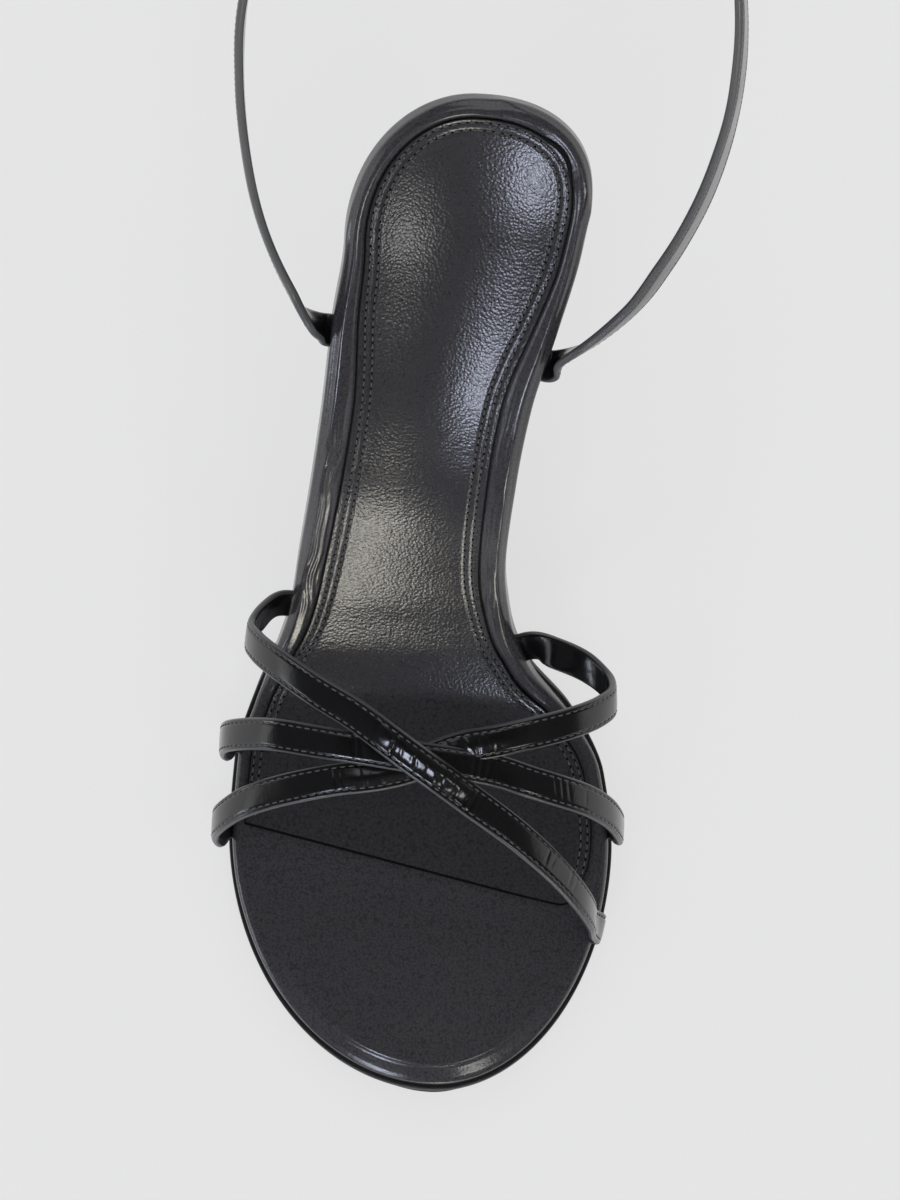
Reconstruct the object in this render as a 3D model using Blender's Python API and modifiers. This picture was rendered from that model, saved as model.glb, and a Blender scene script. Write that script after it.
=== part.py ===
# Strappy heeled sandal, the right shoe: black leather straps over a padded footbed on a slim heel.
# Metres, +Z up. The origin is on the floor under the ball of the foot, the toe points to -Y
# and the inner side of the foot is +X.

from collections import namedtuple
from math import cos, pi, radians, sin

import bmesh
import bpy
import numpy as np
from mathutils import Matrix, Vector

# Driving sizes of the last and the sole
PLAN_LENGTH = 0.2119
BALL_TO_TOE = 0.0716
BALL_WIDTH = 0.0833
WAIST_WIDTH = 0.0450
SEAT_WIDTH = 0.0500
HEEL_RISE = 0.0835
TOE_SPRING = 0.0065
SEAT_CUP = 0.0028
OUTSOLE_THICKNESS = 0.0025
OUTSOLE_PROUD = 0.0009
OUTSOLE_EDGE_ROUND = 0.0005
INSOLE_THICKNESS = 0.0052
INSOLE_EDGE_ROUND = 0.0020
SOCK_THICKNESS = 0.0009
SOCK_MARGIN = 0.0060
CLEARANCE = 0.0003

# Heel, from its breast to the rubber tip
HEEL_TIP_LENGTH = 0.0105
HEEL_TIP_WIDTH = 0.0100
HEEL_TIP_HEIGHT = 0.0060
HEEL_TIP_SETBACK = 0.0270
HEEL_TIP_BEHIND = 0.0065
HEEL_INSET = 0.0006
BREAST_CURVE = 0.0020

# Straps
STRAP_WIDTH = 0.0070
STRAP_THICKNESS = 0.0018
STRAP_EDGE_ROUND = 0.0004
STRAP_CREST = 0.0485
STRAP_TUCK = 0.0070
ANKLE_WIDTH = 0.0960
ANKLE_REACH = 0.1050
ANKLE_RISE = 0.1245

# Buckle and keeper
BUCKLE_LENGTH = 0.0120
BUCKLE_WIRE = 0.0016
PRONG_WIRE = 0.0012
KEEPER_WIDTH = 0.0045
KEEPER_WALL = 0.0011

# How finely the surfaces are divided
SOLE_ROWS = 30
SOLE_COLUMNS = 8
STRAP_STEPS = 2
RIM_SAMPLES = 240
HEEL_POINTS = 18
FASTENING_STEPS = 13
CUTTER_MARGIN = 0.0060

# The outline of the footbed: reach to each side of the line from toe tip to heel back, as shares
# of one of the three named widths, at shares of the plan length.
Edge = namedtuple("Edge", "along lateral medial width")
OUTLINE = (
    Edge(0.000, 0.558, 0.442, BALL_WIDTH),
    Edge(0.246, 0.558, 0.442, BALL_WIDTH),
    Edge(0.332, 0.551, 0.411, BALL_WIDTH),
    Edge(0.396, 0.509, 0.323, BALL_WIDTH),
    Edge(0.449, 0.467, 0.206, BALL_WIDTH),
    Edge(0.502, 0.791, 0.278, WAIST_WIDTH),
    Edge(0.554, 0.758, 0.244, WAIST_WIDTH),
    Edge(0.636, 0.702, 0.276, WAIST_WIDTH),
    Edge(0.706, 0.664, 0.329, WAIST_WIDTH),
    Edge(0.783, 0.570, 0.390, SEAT_WIDTH),
    Edge(0.859, 0.530, 0.470, SEAT_WIDTH),
    Edge(0.908, 0.530, 0.494, SEAT_WIDTH),
    Edge(1.000, 0.530, 0.494, SEAT_WIDTH),
)

# Where each side starts to close round the toe and round the heel, and how square the curve is
Round = namedtuple("Round", "toe heel toe_power heel_power")
LATERAL_ROUND = Round(0.269, 0.859, 2.0, 2.0)
MEDIAL_ROUND = Round(0.246, 0.908, 2.0, 2.3)

# Height of the last's bottom above the outsole's flat: shares of the heel rise and the toe spring
Profile = namedtuple("Profile", "along rise spring")
PROFILE = (
    Profile(-0.040, 0.000, 1.450),
    Profile(0.000, 0.000, 1.000),
    Profile(0.130, 0.000, 0.230),
    Profile(0.201, 0.000, 0.000),
    Profile(0.352, 0.000, 0.000),
    Profile(0.400, 0.015, 0.000),
    Profile(0.455, 0.075, 0.000),
    Profile(0.505, 0.168, 0.000),
    Profile(0.555, 0.287, 0.000),
    Profile(0.605, 0.419, 0.000),
    Profile(0.655, 0.539, 0.000),
    Profile(0.705, 0.636, 0.000),
    Profile(0.753, 0.712, 0.000),
    Profile(0.800, 0.777, 0.000),
    Profile(0.863, 0.856, 0.000),
    Profile(0.933, 0.931, 0.000),
    Profile(1.009, 1.000, 0.000),
    Profile(1.050, 1.031, 0.000),
)

# How far the sock lining stays inside the footbed's edge, as shares of its margin
Margin = namedtuple("Margin", "along lateral medial")
SOCK_MARGINS = (
    Margin(0.180, 0.45, 0.95),
    Margin(0.280, 0.45, 0.60),
    Margin(0.400, 0.50, 0.60),
    Margin(0.550, 0.92, 0.92),
    Margin(0.700, 1.00, 1.00),
    Margin(0.850, 0.60, 0.56),
    Margin(1.000, 0.46, 0.46),
)

# Shares of the plan length
CUP_STARTS = 0.450
CUP_IS_FULL = 0.750
CUP_CLOSES = 0.870
HEEL_BREAST = 0.785
SOCK_FRONT_LATERAL = 0.262
SOCK_FRONT_MEDIAL = 0.188
TOE_CORNER = 0.060
HEEL_CORNER = 0.965

# The heel's rings: height between tip and seat, and spread from the tip's outline to the seat's
Ring = namedtuple("Ring", "height spread")
HEEL_RINGS = (
    Ring(0.00, 0.00),
    Ring(0.18, 0.02),
    Ring(0.36, 0.06),
    Ring(0.52, 0.13),
    Ring(0.66, 0.25),
    Ring(0.78, 0.42),
    Ring(0.87, 0.62),
    Ring(0.94, 0.82),
    Ring(1.00, 1.00),
)

# Strap routes over the foot. Across is a share of the ball width, along of the plan length
# from the origin, and up of the strap crest above the last's flat.
Step = namedtuple("Step", "across along up")
Route = namedtuple("Route", "start end steps")
LONG_STRAP = Route(
    ("lateral", 0.498),
    ("medial", 0.176),
    (
        Step(-0.502, 0.140, 0.43),
        Step(-0.525, 0.124, 0.55),
        Step(-0.505, 0.112, 0.70),
        Step(-0.448, 0.096, 0.86),
        Step(-0.343, 0.071, 0.99),
        Step(-0.224, 0.045, 1.03),
        Step(-0.095, 0.010, 1.01),
        Step(0.045, -0.027, 0.96),
        Step(0.200, -0.069, 0.86),
        Step(0.300, -0.102, 0.74),
        Step(0.372, -0.132, 0.60),
        Step(0.408, -0.150, 0.43),
        Step(0.420, -0.160, 0.26),
    ),
)
MIDDLE_STRAP = Route(
    ("lateral", 0.344),
    ("medial", 0.280),
    (
        Step(-0.574, 0.006, 0.20),
        Step(-0.584, 0.012, 0.38),
        Step(-0.566, 0.018, 0.58),
        Step(-0.509, 0.022, 0.74),
        Step(-0.439, 0.023, 0.86),
        Step(-0.337, 0.019, 0.94),
        Step(-0.239, 0.015, 0.985),
        Step(-0.118, 0.010, 0.995),
        Step(-0.028, 0.006, 0.98),
        Step(0.062, 0.002, 0.95),
        Step(0.140, -0.003, 0.935),
        Step(0.218, -0.012, 0.91),
        Step(0.286, -0.019, 0.86),
        Step(0.363, -0.028, 0.76),
        Step(0.425, -0.041, 0.60),
        Step(0.460, -0.056, 0.40),
        Step(0.464, -0.062, 0.22),
    ),
)
FRONT_STRAP = Route(
    ("lateral", 0.256),
    ("medial", 0.463),
    (
        Step(-0.582, -0.084, 0.20),
        Step(-0.594, -0.076, 0.36),
        Step(-0.578, -0.066, 0.54),
        Step(-0.520, -0.049, 0.70),
        Step(-0.433, -0.035, 0.815),
        Step(-0.345, -0.025, 0.895),
        Step(-0.269, -0.018, 0.935),
        Step(-0.179, -0.012, 0.960),
        Step(-0.091, -0.002, 0.975),
        Step(-0.028, 0.009, 0.970),
        Step(0.034, 0.019, 0.965),
        Step(0.108, 0.026, 0.975),
        Step(0.211, 0.037, 0.965),
        Step(0.306, 0.048, 0.90),
        Step(0.391, 0.062, 0.755),
        Step(0.425, 0.074, 0.60),
        Step(0.412, 0.086, 0.46),
        Step(0.368, 0.100, 0.38),
        Step(0.290, 0.113, 0.31),
    ),
)

# The middle of the foot, which the straps face away from, as shares like those of a step
FOOT_MIDDLE_ACROSS = -0.06
FOOT_MIDDLE_UP = 0.38

# A strap's end between insole and outsole, as shares of the length that it is tucked in
TUCK_PLACES = (1.0, 0.6, 0.2)

# How the end turns up at the sole's edge. Out and depth count in half walls of the strap from the
# seam, and turn is how far its outer face has turned, from looking down to looking away.
Bend = namedtuple("Bend", "out depth turn")
UPRIGHT_BEND = (Bend(0.6, 1.5, 0.5), Bend(1.0, 3.0, 1.0))
LOW_BEND = (Bend(1.0, 1.3, 0.3),)

# The ankle strap's loop. Across is a share of the ankle width, back of the reach, up of the rise,
# and lean is how far the outer face looks up, in degrees.
Loop = namedtuple("Loop", "across back up lean")
ANKLE_LATERAL = 0.770
ANKLE_MEDIAL = 0.753
ANKLE_LOOP = (
    Loop(-0.330, 0.010, 0.060, -4),
    Loop(-0.386, 0.066, 0.105, 0),
    Loop(-0.425, 0.133, 0.185, 3),
    Loop(-0.460, 0.219, 0.315, 5),
    Loop(-0.482, 0.324, 0.460, 5),
    Loop(-0.490, 0.438, 0.615, 5),
    Loop(-0.480, 0.552, 0.760, 6),
    Loop(-0.438, 0.686, 0.877, 8),
    Loop(-0.344, 0.838, 0.960, 10),
    Loop(-0.190, 0.952, 0.992, 10),
    Loop(0.010, 0.995, 1.000, 10),
    Loop(0.210, 0.962, 0.992, 10),
    Loop(0.375, 0.857, 0.960, 10),
    Loop(0.478, 0.714, 0.892, 12),
    Loop(0.514, 0.600, 0.790, 20),
    Loop(0.527, 0.470, 0.650, 28),
    Loop(0.513, 0.352, 0.485, 33),
    Loop(0.475, 0.240, 0.330, 33),
    Loop(0.417, 0.140, 0.195, 30),
    Loop(0.358, 0.062, 0.108, 16),
    Loop(0.280, 0.000, 0.055, 0),
)

# The fastening, as shares of the ankle strap's length
BUCKLE_PLACE = 0.392
TAIL_START = 0.400
KEEPER_PLACE = 0.362
TAIL_END = 0.335


def clear_scene():
    for item in list(bpy.data.objects):
        bpy.data.objects.remove(item, do_unlink=True)


def new_collection(name):
    collection = bpy.data.collections.new(name)
    bpy.context.scene.collection.children.link(collection)
    return collection


def material(name, colour, roughness, metallic=0.0):
    made = bpy.data.materials.new(name)
    made.use_nodes = True
    shader = made.node_tree.nodes["Principled BSDF"]
    shader.inputs["Base Color"].default_value = (*colour, 1.0)
    shader.inputs["Roughness"].default_value = roughness
    shader.inputs["Metallic"].default_value = metallic
    return made


def new_object(name, bm, collection, finish=None):
    mesh = bpy.data.meshes.new(name)
    bm.to_mesh(mesh)
    bm.free()
    made = bpy.data.objects.new(name, mesh)
    collection.objects.link(made)
    if finish:
        mesh.materials.append(finish)
        mesh.shade_smooth()
    else:
        made.hide_render = True
        made.display_type = "WIRE"
    return made


def solidify(piece, thickness, offset):
    shell = piece.modifiers.new("Wall", "SOLIDIFY")
    shell.thickness = thickness
    shell.offset = offset
    shell.use_even_offset = True


def bevel(piece, width, segments=1, angle=60):
    edge = piece.modifiers.new("Edge", "BEVEL")
    edge.width = width
    edge.segments = segments
    edge.limit_method = "ANGLE"
    edge.angle_limit = radians(angle)


def boolean(piece, other, operation, solver="EXACT"):
    cut = piece.modifiers.new(other.name, "BOOLEAN")
    cut.object = other
    cut.operation = operation
    cut.solver = solver


def smooth_table(places, values, x):
    """A smooth curve through the rows that never swings past them, so level stretches stay level."""
    places, values = np.asarray(places, float), np.asarray(values, float)
    steps = np.diff(values) / np.diff(places)
    slopes = np.concatenate([steps[:1], np.zeros(len(steps) - 1), steps[-1:]])
    same_way = steps[:-1] * steps[1:] > 0
    slopes[1:-1][same_way] = 2 * steps[:-1][same_way] * steps[1:][same_way] / (
        steps[:-1][same_way] + steps[1:][same_way]
    )
    i = np.clip(np.searchsorted(places, x, side="right") - 1, 0, len(steps) - 1)
    width = places[i + 1] - places[i]
    t = (x - places[i]) / width
    inside = np.clip(t, 0, 1)
    value = (
        values[i] * (1 + 2 * inside) * (1 - inside) ** 2
        + values[i + 1] * inside**2 * (3 - 2 * inside)
        + slopes[i] * width * inside * (1 - inside) ** 2
        - slopes[i + 1] * width * inside**2 * (1 - inside)
    )
    return value + (t - inside) * width * np.where(t > 1, slopes[i + 1], slopes[i])


def fade(x, start, end):
    t = np.clip((x - start) / (end - start), 0, 1)
    return t * t * (3 - 2 * t)


# The last: its outline from above and the height of its bottom


def share_of(y):
    return (y + BALL_TO_TOE) / PLAN_LENGTH


def place_of(share):
    return share * PLAN_LENGTH - BALL_TO_TOE


def reach(side, share):
    """Distance from the toe-to-heel line to the footbed's edge on one side."""
    places = [row.along for row in OUTLINE]
    widths = [getattr(row, side) * row.width for row in OUTLINE]
    ends = LATERAL_ROUND if side == "lateral" else MEDIAL_ROUND
    full = smooth_table(places, widths, share)
    toe = np.clip((ends.toe - share) / ends.toe, 0, 1)
    heel = np.clip((share - ends.heel) / (1 - ends.heel), 0, 1)
    toe_round = (1 - toe**ends.toe_power) ** (1 / ends.toe_power)
    heel_round = (1 - heel**ends.heel_power) ** (1 / ends.heel_power)
    return full * toe_round * heel_round


def rim(offset=0.0):
    """The closed outline from the toe tip along the lateral side, round the heel and back, moved
    outwards by an offset or by a function of each point's share of the length and side."""
    share = (1 - np.cos(np.linspace(0, pi, RIM_SAMPLES))) / 2
    y = place_of(share)
    lateral = np.column_stack([-reach("lateral", share), y])
    medial = np.column_stack([reach("medial", share), y])
    points = np.concatenate([lateral, medial[-2:0:-1]])
    ahead = np.roll(points, -1, axis=0) - np.roll(points, 1, axis=0)
    outward = np.column_stack([-ahead[:, 1], ahead[:, 0]])
    outward /= np.linalg.norm(outward, axis=1)[:, None]
    if callable(offset):
        offset = offset(share_of(points[:, 1]), points[:, 0] > 0)
    return points + outward * np.reshape(offset, (-1, 1))


def side_of(outline, side):
    """One side of a closed outline, from toe to heel."""
    half = RIM_SAMPLES
    if side == "lateral":
        return outline[:half]
    return np.concatenate([outline[:1], outline[: half - 2 : -1]])


def last_height(x, y):
    share = share_of(y)
    places = [row.along for row in PROFILE]
    rise = [row.rise * HEEL_RISE + row.spring * TOE_SPRING for row in PROFILE]
    inside = np.clip(share, 0.0, 1.0)
    lateral = smooth_table([r.along for r in OUTLINE], [r.lateral * r.width for r in OUTLINE], inside)
    medial = smooth_table([r.along for r in OUTLINE], [r.medial * r.width for r in OUTLINE], inside)
    across = (x - (medial - lateral) / 2) / ((medial + lateral) / 2)
    behind = np.clip((share - CUP_CLOSES) / (1 - CUP_CLOSES), 0, 1)
    hollow = np.clip(1 - across**2 - behind**2, 0, 1)
    cup = SEAT_CUP * fade(share, CUP_STARTS, CUP_IS_FULL) * hollow
    return OUTSOLE_THICKNESS + smooth_table(places, rise, share) - cup


def last_point(x, y, depth):
    """A point this far above the last's bottom, square to it."""
    step = 0.0005
    slope_x = (last_height(x + step, y) - last_height(x - step, y)) / (2 * step)
    slope_y = (last_height(x, y + step) - last_height(x, y - step)) / (2 * step)
    normal = Vector((-slope_x, -slope_y, 1.0)).normalized()
    return Vector((x, y, last_height(x, y))) + depth * normal


# Layers of the sole


def along_line(line, share):
    """The point at this share of a polyline's length."""
    lengths = np.concatenate([[0], np.cumsum(np.linalg.norm(np.diff(line, axis=0), axis=1))])
    place = share * lengths[-1]
    return np.array([np.interp(place, lengths, line[:, 0]), np.interp(place, lengths, line[:, 1])])


def edge_point(line, share):
    """Where one side of an outline is at this share of the length."""
    y = place_of(share)
    return np.array([np.interp(y, line[:, 1], line[:, 0]), y])


def four_sides(outline, front=None, back=None):
    """Toe, heel, lateral and medial borders of a sole layer. It ends at a straight edge where front
    holds that edge's share on each side, or back its share on both."""
    low_shares = front or (TOE_CORNER, TOE_CORNER)
    high = back or HEEL_CORNER
    sides, toes, heels = [], [], []
    for side, low in zip(("lateral", "medial"), low_shares):
        line = side_of(outline, side)
        share = share_of(line[:, 1])
        between = line[(share > low) & (share < high)]
        sides.append(np.concatenate([[edge_point(line, low)], between, [edge_point(line, high)]]))
        toes.append(line[share <= low])
        heels.append(line[share >= high])
    lateral, medial = sides
    toe = [lateral[:1], medial[:1]]
    heel = [lateral[-1:], medial[-1:]]
    if not front:
        toe[1:1] = [toes[0][::-1], toes[1][1:]]
    if not back:
        heel[1:1] = [heels[0], heels[1][-2::-1]]
    return np.concatenate(toe), np.concatenate(heel), lateral, medial


def layer(name, borders, depth, collection, finish=None):
    """A sheet at one depth over the last, between four borders."""
    toe, heel, lateral, medial = borders
    bm = bmesh.new()
    bmesh.ops.create_grid(bm, x_segments=SOLE_COLUMNS, y_segments=SOLE_ROWS, size=1)
    for vert in bm.verts:
        u, v = (vert.co.x + 1) / 2, (vert.co.y + 1) / 2
        across = (1 - v) * along_line(toe, u) + v * along_line(heel, u)
        along = (1 - u) * along_line(lateral, v) + u * along_line(medial, v)
        corners = (1 - v) * ((1 - u) * toe[0] + u * toe[-1]) + v * ((1 - u) * heel[0] + u * heel[-1])
        x, y = across + along - corners
        vert.co = last_point(x, y, depth)
    return new_object(name, bm, collection, finish)


# Straps


def smooth_route(points, steps):
    """Points and directions on a smooth curve through the given points."""
    points = np.asarray(points, float)
    gaps = np.linalg.norm(np.diff(points, axis=0), axis=1)
    slopes = np.diff(points, axis=0) / gaps[:, None]
    tangents = np.empty_like(points)
    tangents[0], tangents[-1] = slopes[0], slopes[-1]
    share = (gaps[:-1] / (gaps[:-1] + gaps[1:]))[:, None]
    tangents[1:-1] = slopes[:-1] * (1 - share) + slopes[1:] * share
    places, directions = [], []
    for i, gap in enumerate(gaps):
        last = i == len(gaps) - 1
        for t in np.linspace(0, 1, steps + 1)[: None if last else -1]:
            places.append(
                points[i] * (1 + 2 * t) * (1 - t) ** 2
                + points[i + 1] * t * t * (3 - 2 * t)
                + gap * (tangents[i] * t * (1 - t) ** 2 - tangents[i + 1] * t * t * (1 - t))
            )
            directions.append(
                (points[i + 1] - points[i]) * 6 * t * (1 - t) / gap
                + tangents[i] * (1 - 4 * t + 3 * t * t)
                + tangents[i + 1] * (3 * t * t - 2 * t)
            )
    directions = np.array(directions)
    return np.array(places), directions / np.linalg.norm(directions, axis=1)[:, None]


def tuck(side, share, upright):
    """Where a strap's end runs in between insole and outsole and turns up at the edge: points
    with the direction that the strap's outer face looks there."""
    line = side_of(rim(), side)
    x, y = edge_point(line, share)
    ahead = edge_point(line, share + STRAP_WIDTH / PLAN_LENGTH / 4) - (x, y)
    outward = np.array([ahead[1], -ahead[0]]) * (1 if side == "medial" else -1)
    outward /= np.linalg.norm(outward)
    middle = CLEARANCE + STRAP_THICKNESS / 2

    def point(out, depth):
        return last_point(x + outward[0] * out, y + outward[1] * out, depth)

    down = (point(0, 0) - point(0, middle)).normalized()
    away = (point(0, 0) - point(-middle, 0)).normalized()
    stops = [(point(-STRAP_TUCK * place, middle), down) for place in TUCK_PLACES]
    for bend in UPRIGHT_BEND if upright else LOW_BEND:
        face = down * (1 - bend.turn) + away * bend.turn
        stops.append((point(middle * bend.out, middle * bend.depth), face))
    return stops


def course_through(stops):
    """A strap's course: points, outer face direction and width direction all along it."""
    places, directions = smooth_route([stop[0] for stop in stops], STRAP_STEPS)
    outward = np.array([stop[1].normalized() for stop in stops])
    spots = np.arange(len(places)) / STRAP_STEPS
    faces = [np.interp(spots, np.arange(len(stops)), outward[:, k]) for k in range(3)]
    return places, *frames(directions, np.column_stack(faces))


def frames(directions, outward):
    outward = outward - directions * np.sum(outward * directions, axis=1)[:, None]
    outward /= np.linalg.norm(outward, axis=1)[:, None]
    return outward, np.cross(directions, outward)


def vamp_route(route):
    """A strap over the foot, its outer face turned away from the middle of the foot."""
    stops = []
    for row in route.steps:
        point = Vector((row.across * BALL_WIDTH, row.along * PLAN_LENGTH, row.up * STRAP_CREST))
        middle = Vector((FOOT_MIDDLE_ACROSS * BALL_WIDTH, point.y, FOOT_MIDDLE_UP * STRAP_CREST))
        stops.append((point + Vector((0, 0, OUTSOLE_THICKNESS)), point - middle))
    start = tuck(*route.start, upright=route.start[1] < CUP_STARTS)
    end = tuck(*route.end, upright=route.end[1] < CUP_STARTS)
    return course_through([*start, *stops, *reversed(end)])


def ankle_route():
    """The ankle strap, its outer face turned away from the ankle and tilted by each row's lean."""
    base = Vector((0.0, place_of(ANKLE_LATERAL), 0.0))
    base.z = last_height(0.0, base.y) + SEAT_CUP
    start = tuck("lateral", ANKLE_LATERAL, upright=True)
    end = tuck("medial", ANKLE_MEDIAL, upright=True)
    points = [
        base + Vector((row.across * ANKLE_WIDTH, row.back * ANKLE_REACH, row.up * ANKLE_RISE))
        for row in ANKLE_LOOP
    ]
    ends = [start[-1][0], *points, end[-1][0]]
    up = Vector((0, 0, 1))
    stops = []
    for row, point, before, after in zip(ANKLE_LOOP, points, ends, ends[2:]):
        away = up.cross(after - before).normalized()
        lean = radians(row.lean)
        stops.append((point, away * cos(lean) + up * sin(lean)))
    return course_through([*start, *stops, *reversed(end)])


def band(name, course, collection, finish=None, grow=0.0, lift=0.0):
    """A flat strap along its course; the grown copy cuts its slot."""
    places, outward, side = course
    last = len(places) - 1
    width = STRAP_WIDTH + 2 * grow
    bm = bmesh.new()
    bmesh.ops.create_grid(bm, x_segments=2, y_segments=last, size=1)
    for vert in bm.verts:
        i = round((vert.co.y + 1) / 2 * last)
        vert.co = places[i] + side[i] * vert.co.x * width / 2 + outward[i] * lift
    made = new_object(name, bm, collection, finish)
    solidify(made, STRAP_THICKNESS + 2 * grow, 0)
    if not grow:
        bevel(made, STRAP_EDGE_ROUND)
    return made


def part_of(course, start, end):
    """The stretch of a course between two shares of its length."""
    places = course[0]
    lengths = np.concatenate([[0], np.cumsum(np.linalg.norm(np.diff(places, axis=0), axis=1))])
    wanted = np.linspace(start, end, FASTENING_STEPS) * lengths[-1]
    cut = [np.column_stack([np.interp(wanted, lengths, line[:, k]) for k in range(3)]) for line in course]
    directions = np.gradient(cut[0], axis=0)
    directions /= np.linalg.norm(directions, axis=1)[:, None]
    return cut[0], *frames(directions, cut[1])


def frame_at(course, share, lift):
    """A local frame on the strap: X along its width, Y along its length, Z out of its face."""
    near = STRAP_WIDTH / ANKLE_RISE / 10
    places, outward, side = part_of(course, share - near, share + near)
    middle = len(places) // 2
    out, across = Vector(outward[middle]), Vector(side[middle])
    turned = Matrix((across, out.cross(across), out)).transposed()
    return Matrix.Translation(Vector(places[middle]) + out * lift) @ turned.to_4x4()


# Pieces


def outsole_offset(share, medial):
    """The outsole's rim shows all round the forefoot and draws in under the waist."""
    return OUTSOLE_PROUD * (1 - 2 * fade(share, 0.38, 0.50))


def sock_offset(share, medial):
    places = [row.along for row in SOCK_MARGINS]
    share = np.clip(share, places[0], places[-1])
    sides = [smooth_table(places, [getattr(row, side) for row in SOCK_MARGINS], share)
             for side in ("lateral", "medial")]
    return -SOCK_MARGIN * np.where(medial, sides[1], sides[0])


def make_sole(parts, cutters, looks, courses):
    outline = rim(outsole_offset)
    outsole = layer("outsole", four_sides(outline, back=HEEL_BREAST), 0.0, parts, looks["sole"])
    solidify(outsole, OUTSOLE_THICKNESS, -1)
    bevel(outsole, OUTSOLE_EDGE_ROUND)

    insole = layer("insole", four_sides(rim()), CLEARANCE, parts, looks["lining"])
    solidify(insole, INSOLE_THICKNESS, 1)
    bevel(insole, INSOLE_EDGE_ROUND, segments=3)
    for name, course in courses.items():
        slot = band("slot for " + name, course, cutters, grow=CLEARANCE)
        boolean(insole, slot, "DIFFERENCE", "MANIFOLD" if name == "ankle strap" else "EXACT")

    depth = INSOLE_THICKNESS + 2 * CLEARANCE
    front = (SOCK_FRONT_LATERAL, SOCK_FRONT_MEDIAL)
    outline = rim(sock_offset)
    sock = layer("sock_lining", four_sides(outline, front=front), depth, parts, looks["lining"])
    solidify(sock, SOCK_THICKNESS, 1)


def heel_outline(count):
    """The heel's outline under the seat and at the tip, with the same number of points."""
    start = HEEL_BREAST + CLEARANCE / PLAN_LENGTH
    lines = [side_of(rim(-HEEL_INSET), side) for side in ("lateral", "medial")]
    around = [line[share_of(line[:, 1]) > start] for line in lines]
    corners = [edge_point(line, start) for line in lines]
    back = np.concatenate([corners[:1], around[0], around[1][-2::-1], corners[1:]])
    middle = place_of(1.0) - HEEL_TIP_SETBACK
    top, tip = [], []
    for i in range(count):
        share = i / (count - 1)
        angle = pi * (1 - share)
        top.append(along_line(back, share))
        tip.append([cos(angle) * HEEL_TIP_WIDTH / 2, middle + sin(angle) * HEEL_TIP_BEHIND])
    front = count // 3
    for i in range(1, front):
        share = i / front
        hollow = BREAST_CURVE * sin(pi * share)
        bulge = (HEEL_TIP_LENGTH - HEEL_TIP_BEHIND) * sin(pi * share) ** 0.5
        top.append(corners[1] * (1 - share) + corners[0] * share + (0, hollow))
        tip.append([HEEL_TIP_WIDTH * (0.5 - share), middle - bulge])
    return np.array(top), np.array(tip)


def loft(name, rings, collection, finish=None):
    """A closed skin through rings with the same number of points, and a cap at each end."""
    bm = bmesh.new()
    rows = [[bm.verts.new(point) for point in ring] for ring in rings]
    for low, high in zip(rows, rows[1:]):
        for i in range(len(low)):
            j = (i + 1) % len(low)
            bm.faces.new((low[i], low[j], high[j], high[i]))
    bm.faces.new(rows[0][::-1])
    bm.faces.new(rows[-1])
    bmesh.ops.recalc_face_normals(bm, faces=bm.faces)
    return new_object(name, bm, collection, finish)


def make_heel(parts, cutters, looks):
    top, tip = heel_outline(HEEL_POINTS)
    base = HEEL_TIP_HEIGHT + CLEARANCE
    rings = []
    for row in HEEL_RINGS:
        outline = tip * (1 - row.spread) + top * row.spread
        heights = [base + (last_height(*point) - base) * row.height for point in top]
        rings.append([(*point, z) for point, z in zip(outline, heights)])
    rings.append([(*point, last_height(*point) + CUTTER_MARGIN) for point in top])
    heel = loft("heel", rings, parts, looks["leather"])
    seat = layer("seat cutter", four_sides(rim(CUTTER_MARGIN)), 0.0, cutters)
    solidify(seat, 2 * CUTTER_MARGIN, 1)
    boolean(heel, seat, "DIFFERENCE")

    rings = [[(*point, z) for point in tip] for z in (0.0, HEEL_TIP_HEIGHT)]
    piece = loft("heel_tip", rings, parts, looks["rubber"])
    bevel(piece, OUTSOLE_EDGE_ROUND)


def make_upper(parts, cutters, looks, courses):
    upper = band("upper", courses["long strap"], parts, looks["leather"])
    for name in ("middle strap", "front strap"):
        boolean(upper, band(name, courses[name], cutters), "UNION")


def wire(name, points, thickness, closed, collection, finish):
    """A round wire along a polyline, as a mesh."""
    curve = bpy.data.curves.new(name, "CURVE")
    curve.dimensions = "3D"
    curve.bevel_depth = thickness / 2
    curve.bevel_resolution = 2
    curve.use_fill_caps = not closed
    spline = curve.splines.new("POLY")
    spline.points.add(len(points) - 1)
    for target, point in zip(spline.points, points):
        target.co = (*point, 1.0)
    spline.use_cyclic_u = closed
    bent = bpy.data.objects.new(name, curve)
    collection.objects.link(bent)
    graph = bpy.context.evaluated_depsgraph_get()
    mesh = bpy.data.meshes.new_from_object(bent.evaluated_get(graph))
    bpy.data.objects.remove(bent, do_unlink=True)
    bm = bmesh.new()
    bm.from_mesh(mesh)
    bmesh.ops.remove_doubles(bm, verts=bm.verts, dist=0.00001)
    return new_object(name, bm, collection, finish)


def make_ankle_strap(parts, cutters, looks, course):
    band("ankle_strap", course, parts, looks["leather"])
    layer_gap = STRAP_THICKNESS + CLEARANCE
    tail = part_of(course, TAIL_END, TAIL_START)
    band("strap_tail", tail, parts, looks["leather"], lift=layer_gap)
    tail_face = layer_gap + STRAP_THICKNESS / 2
    make_buckle(parts, looks, frame_at(course, BUCKLE_PLACE, tail_face + CLEARANCE + BUCKLE_WIRE / 2))
    make_keeper(parts, cutters, looks, frame_at(course, KEEPER_PLACE, layer_gap / 2))


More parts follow.
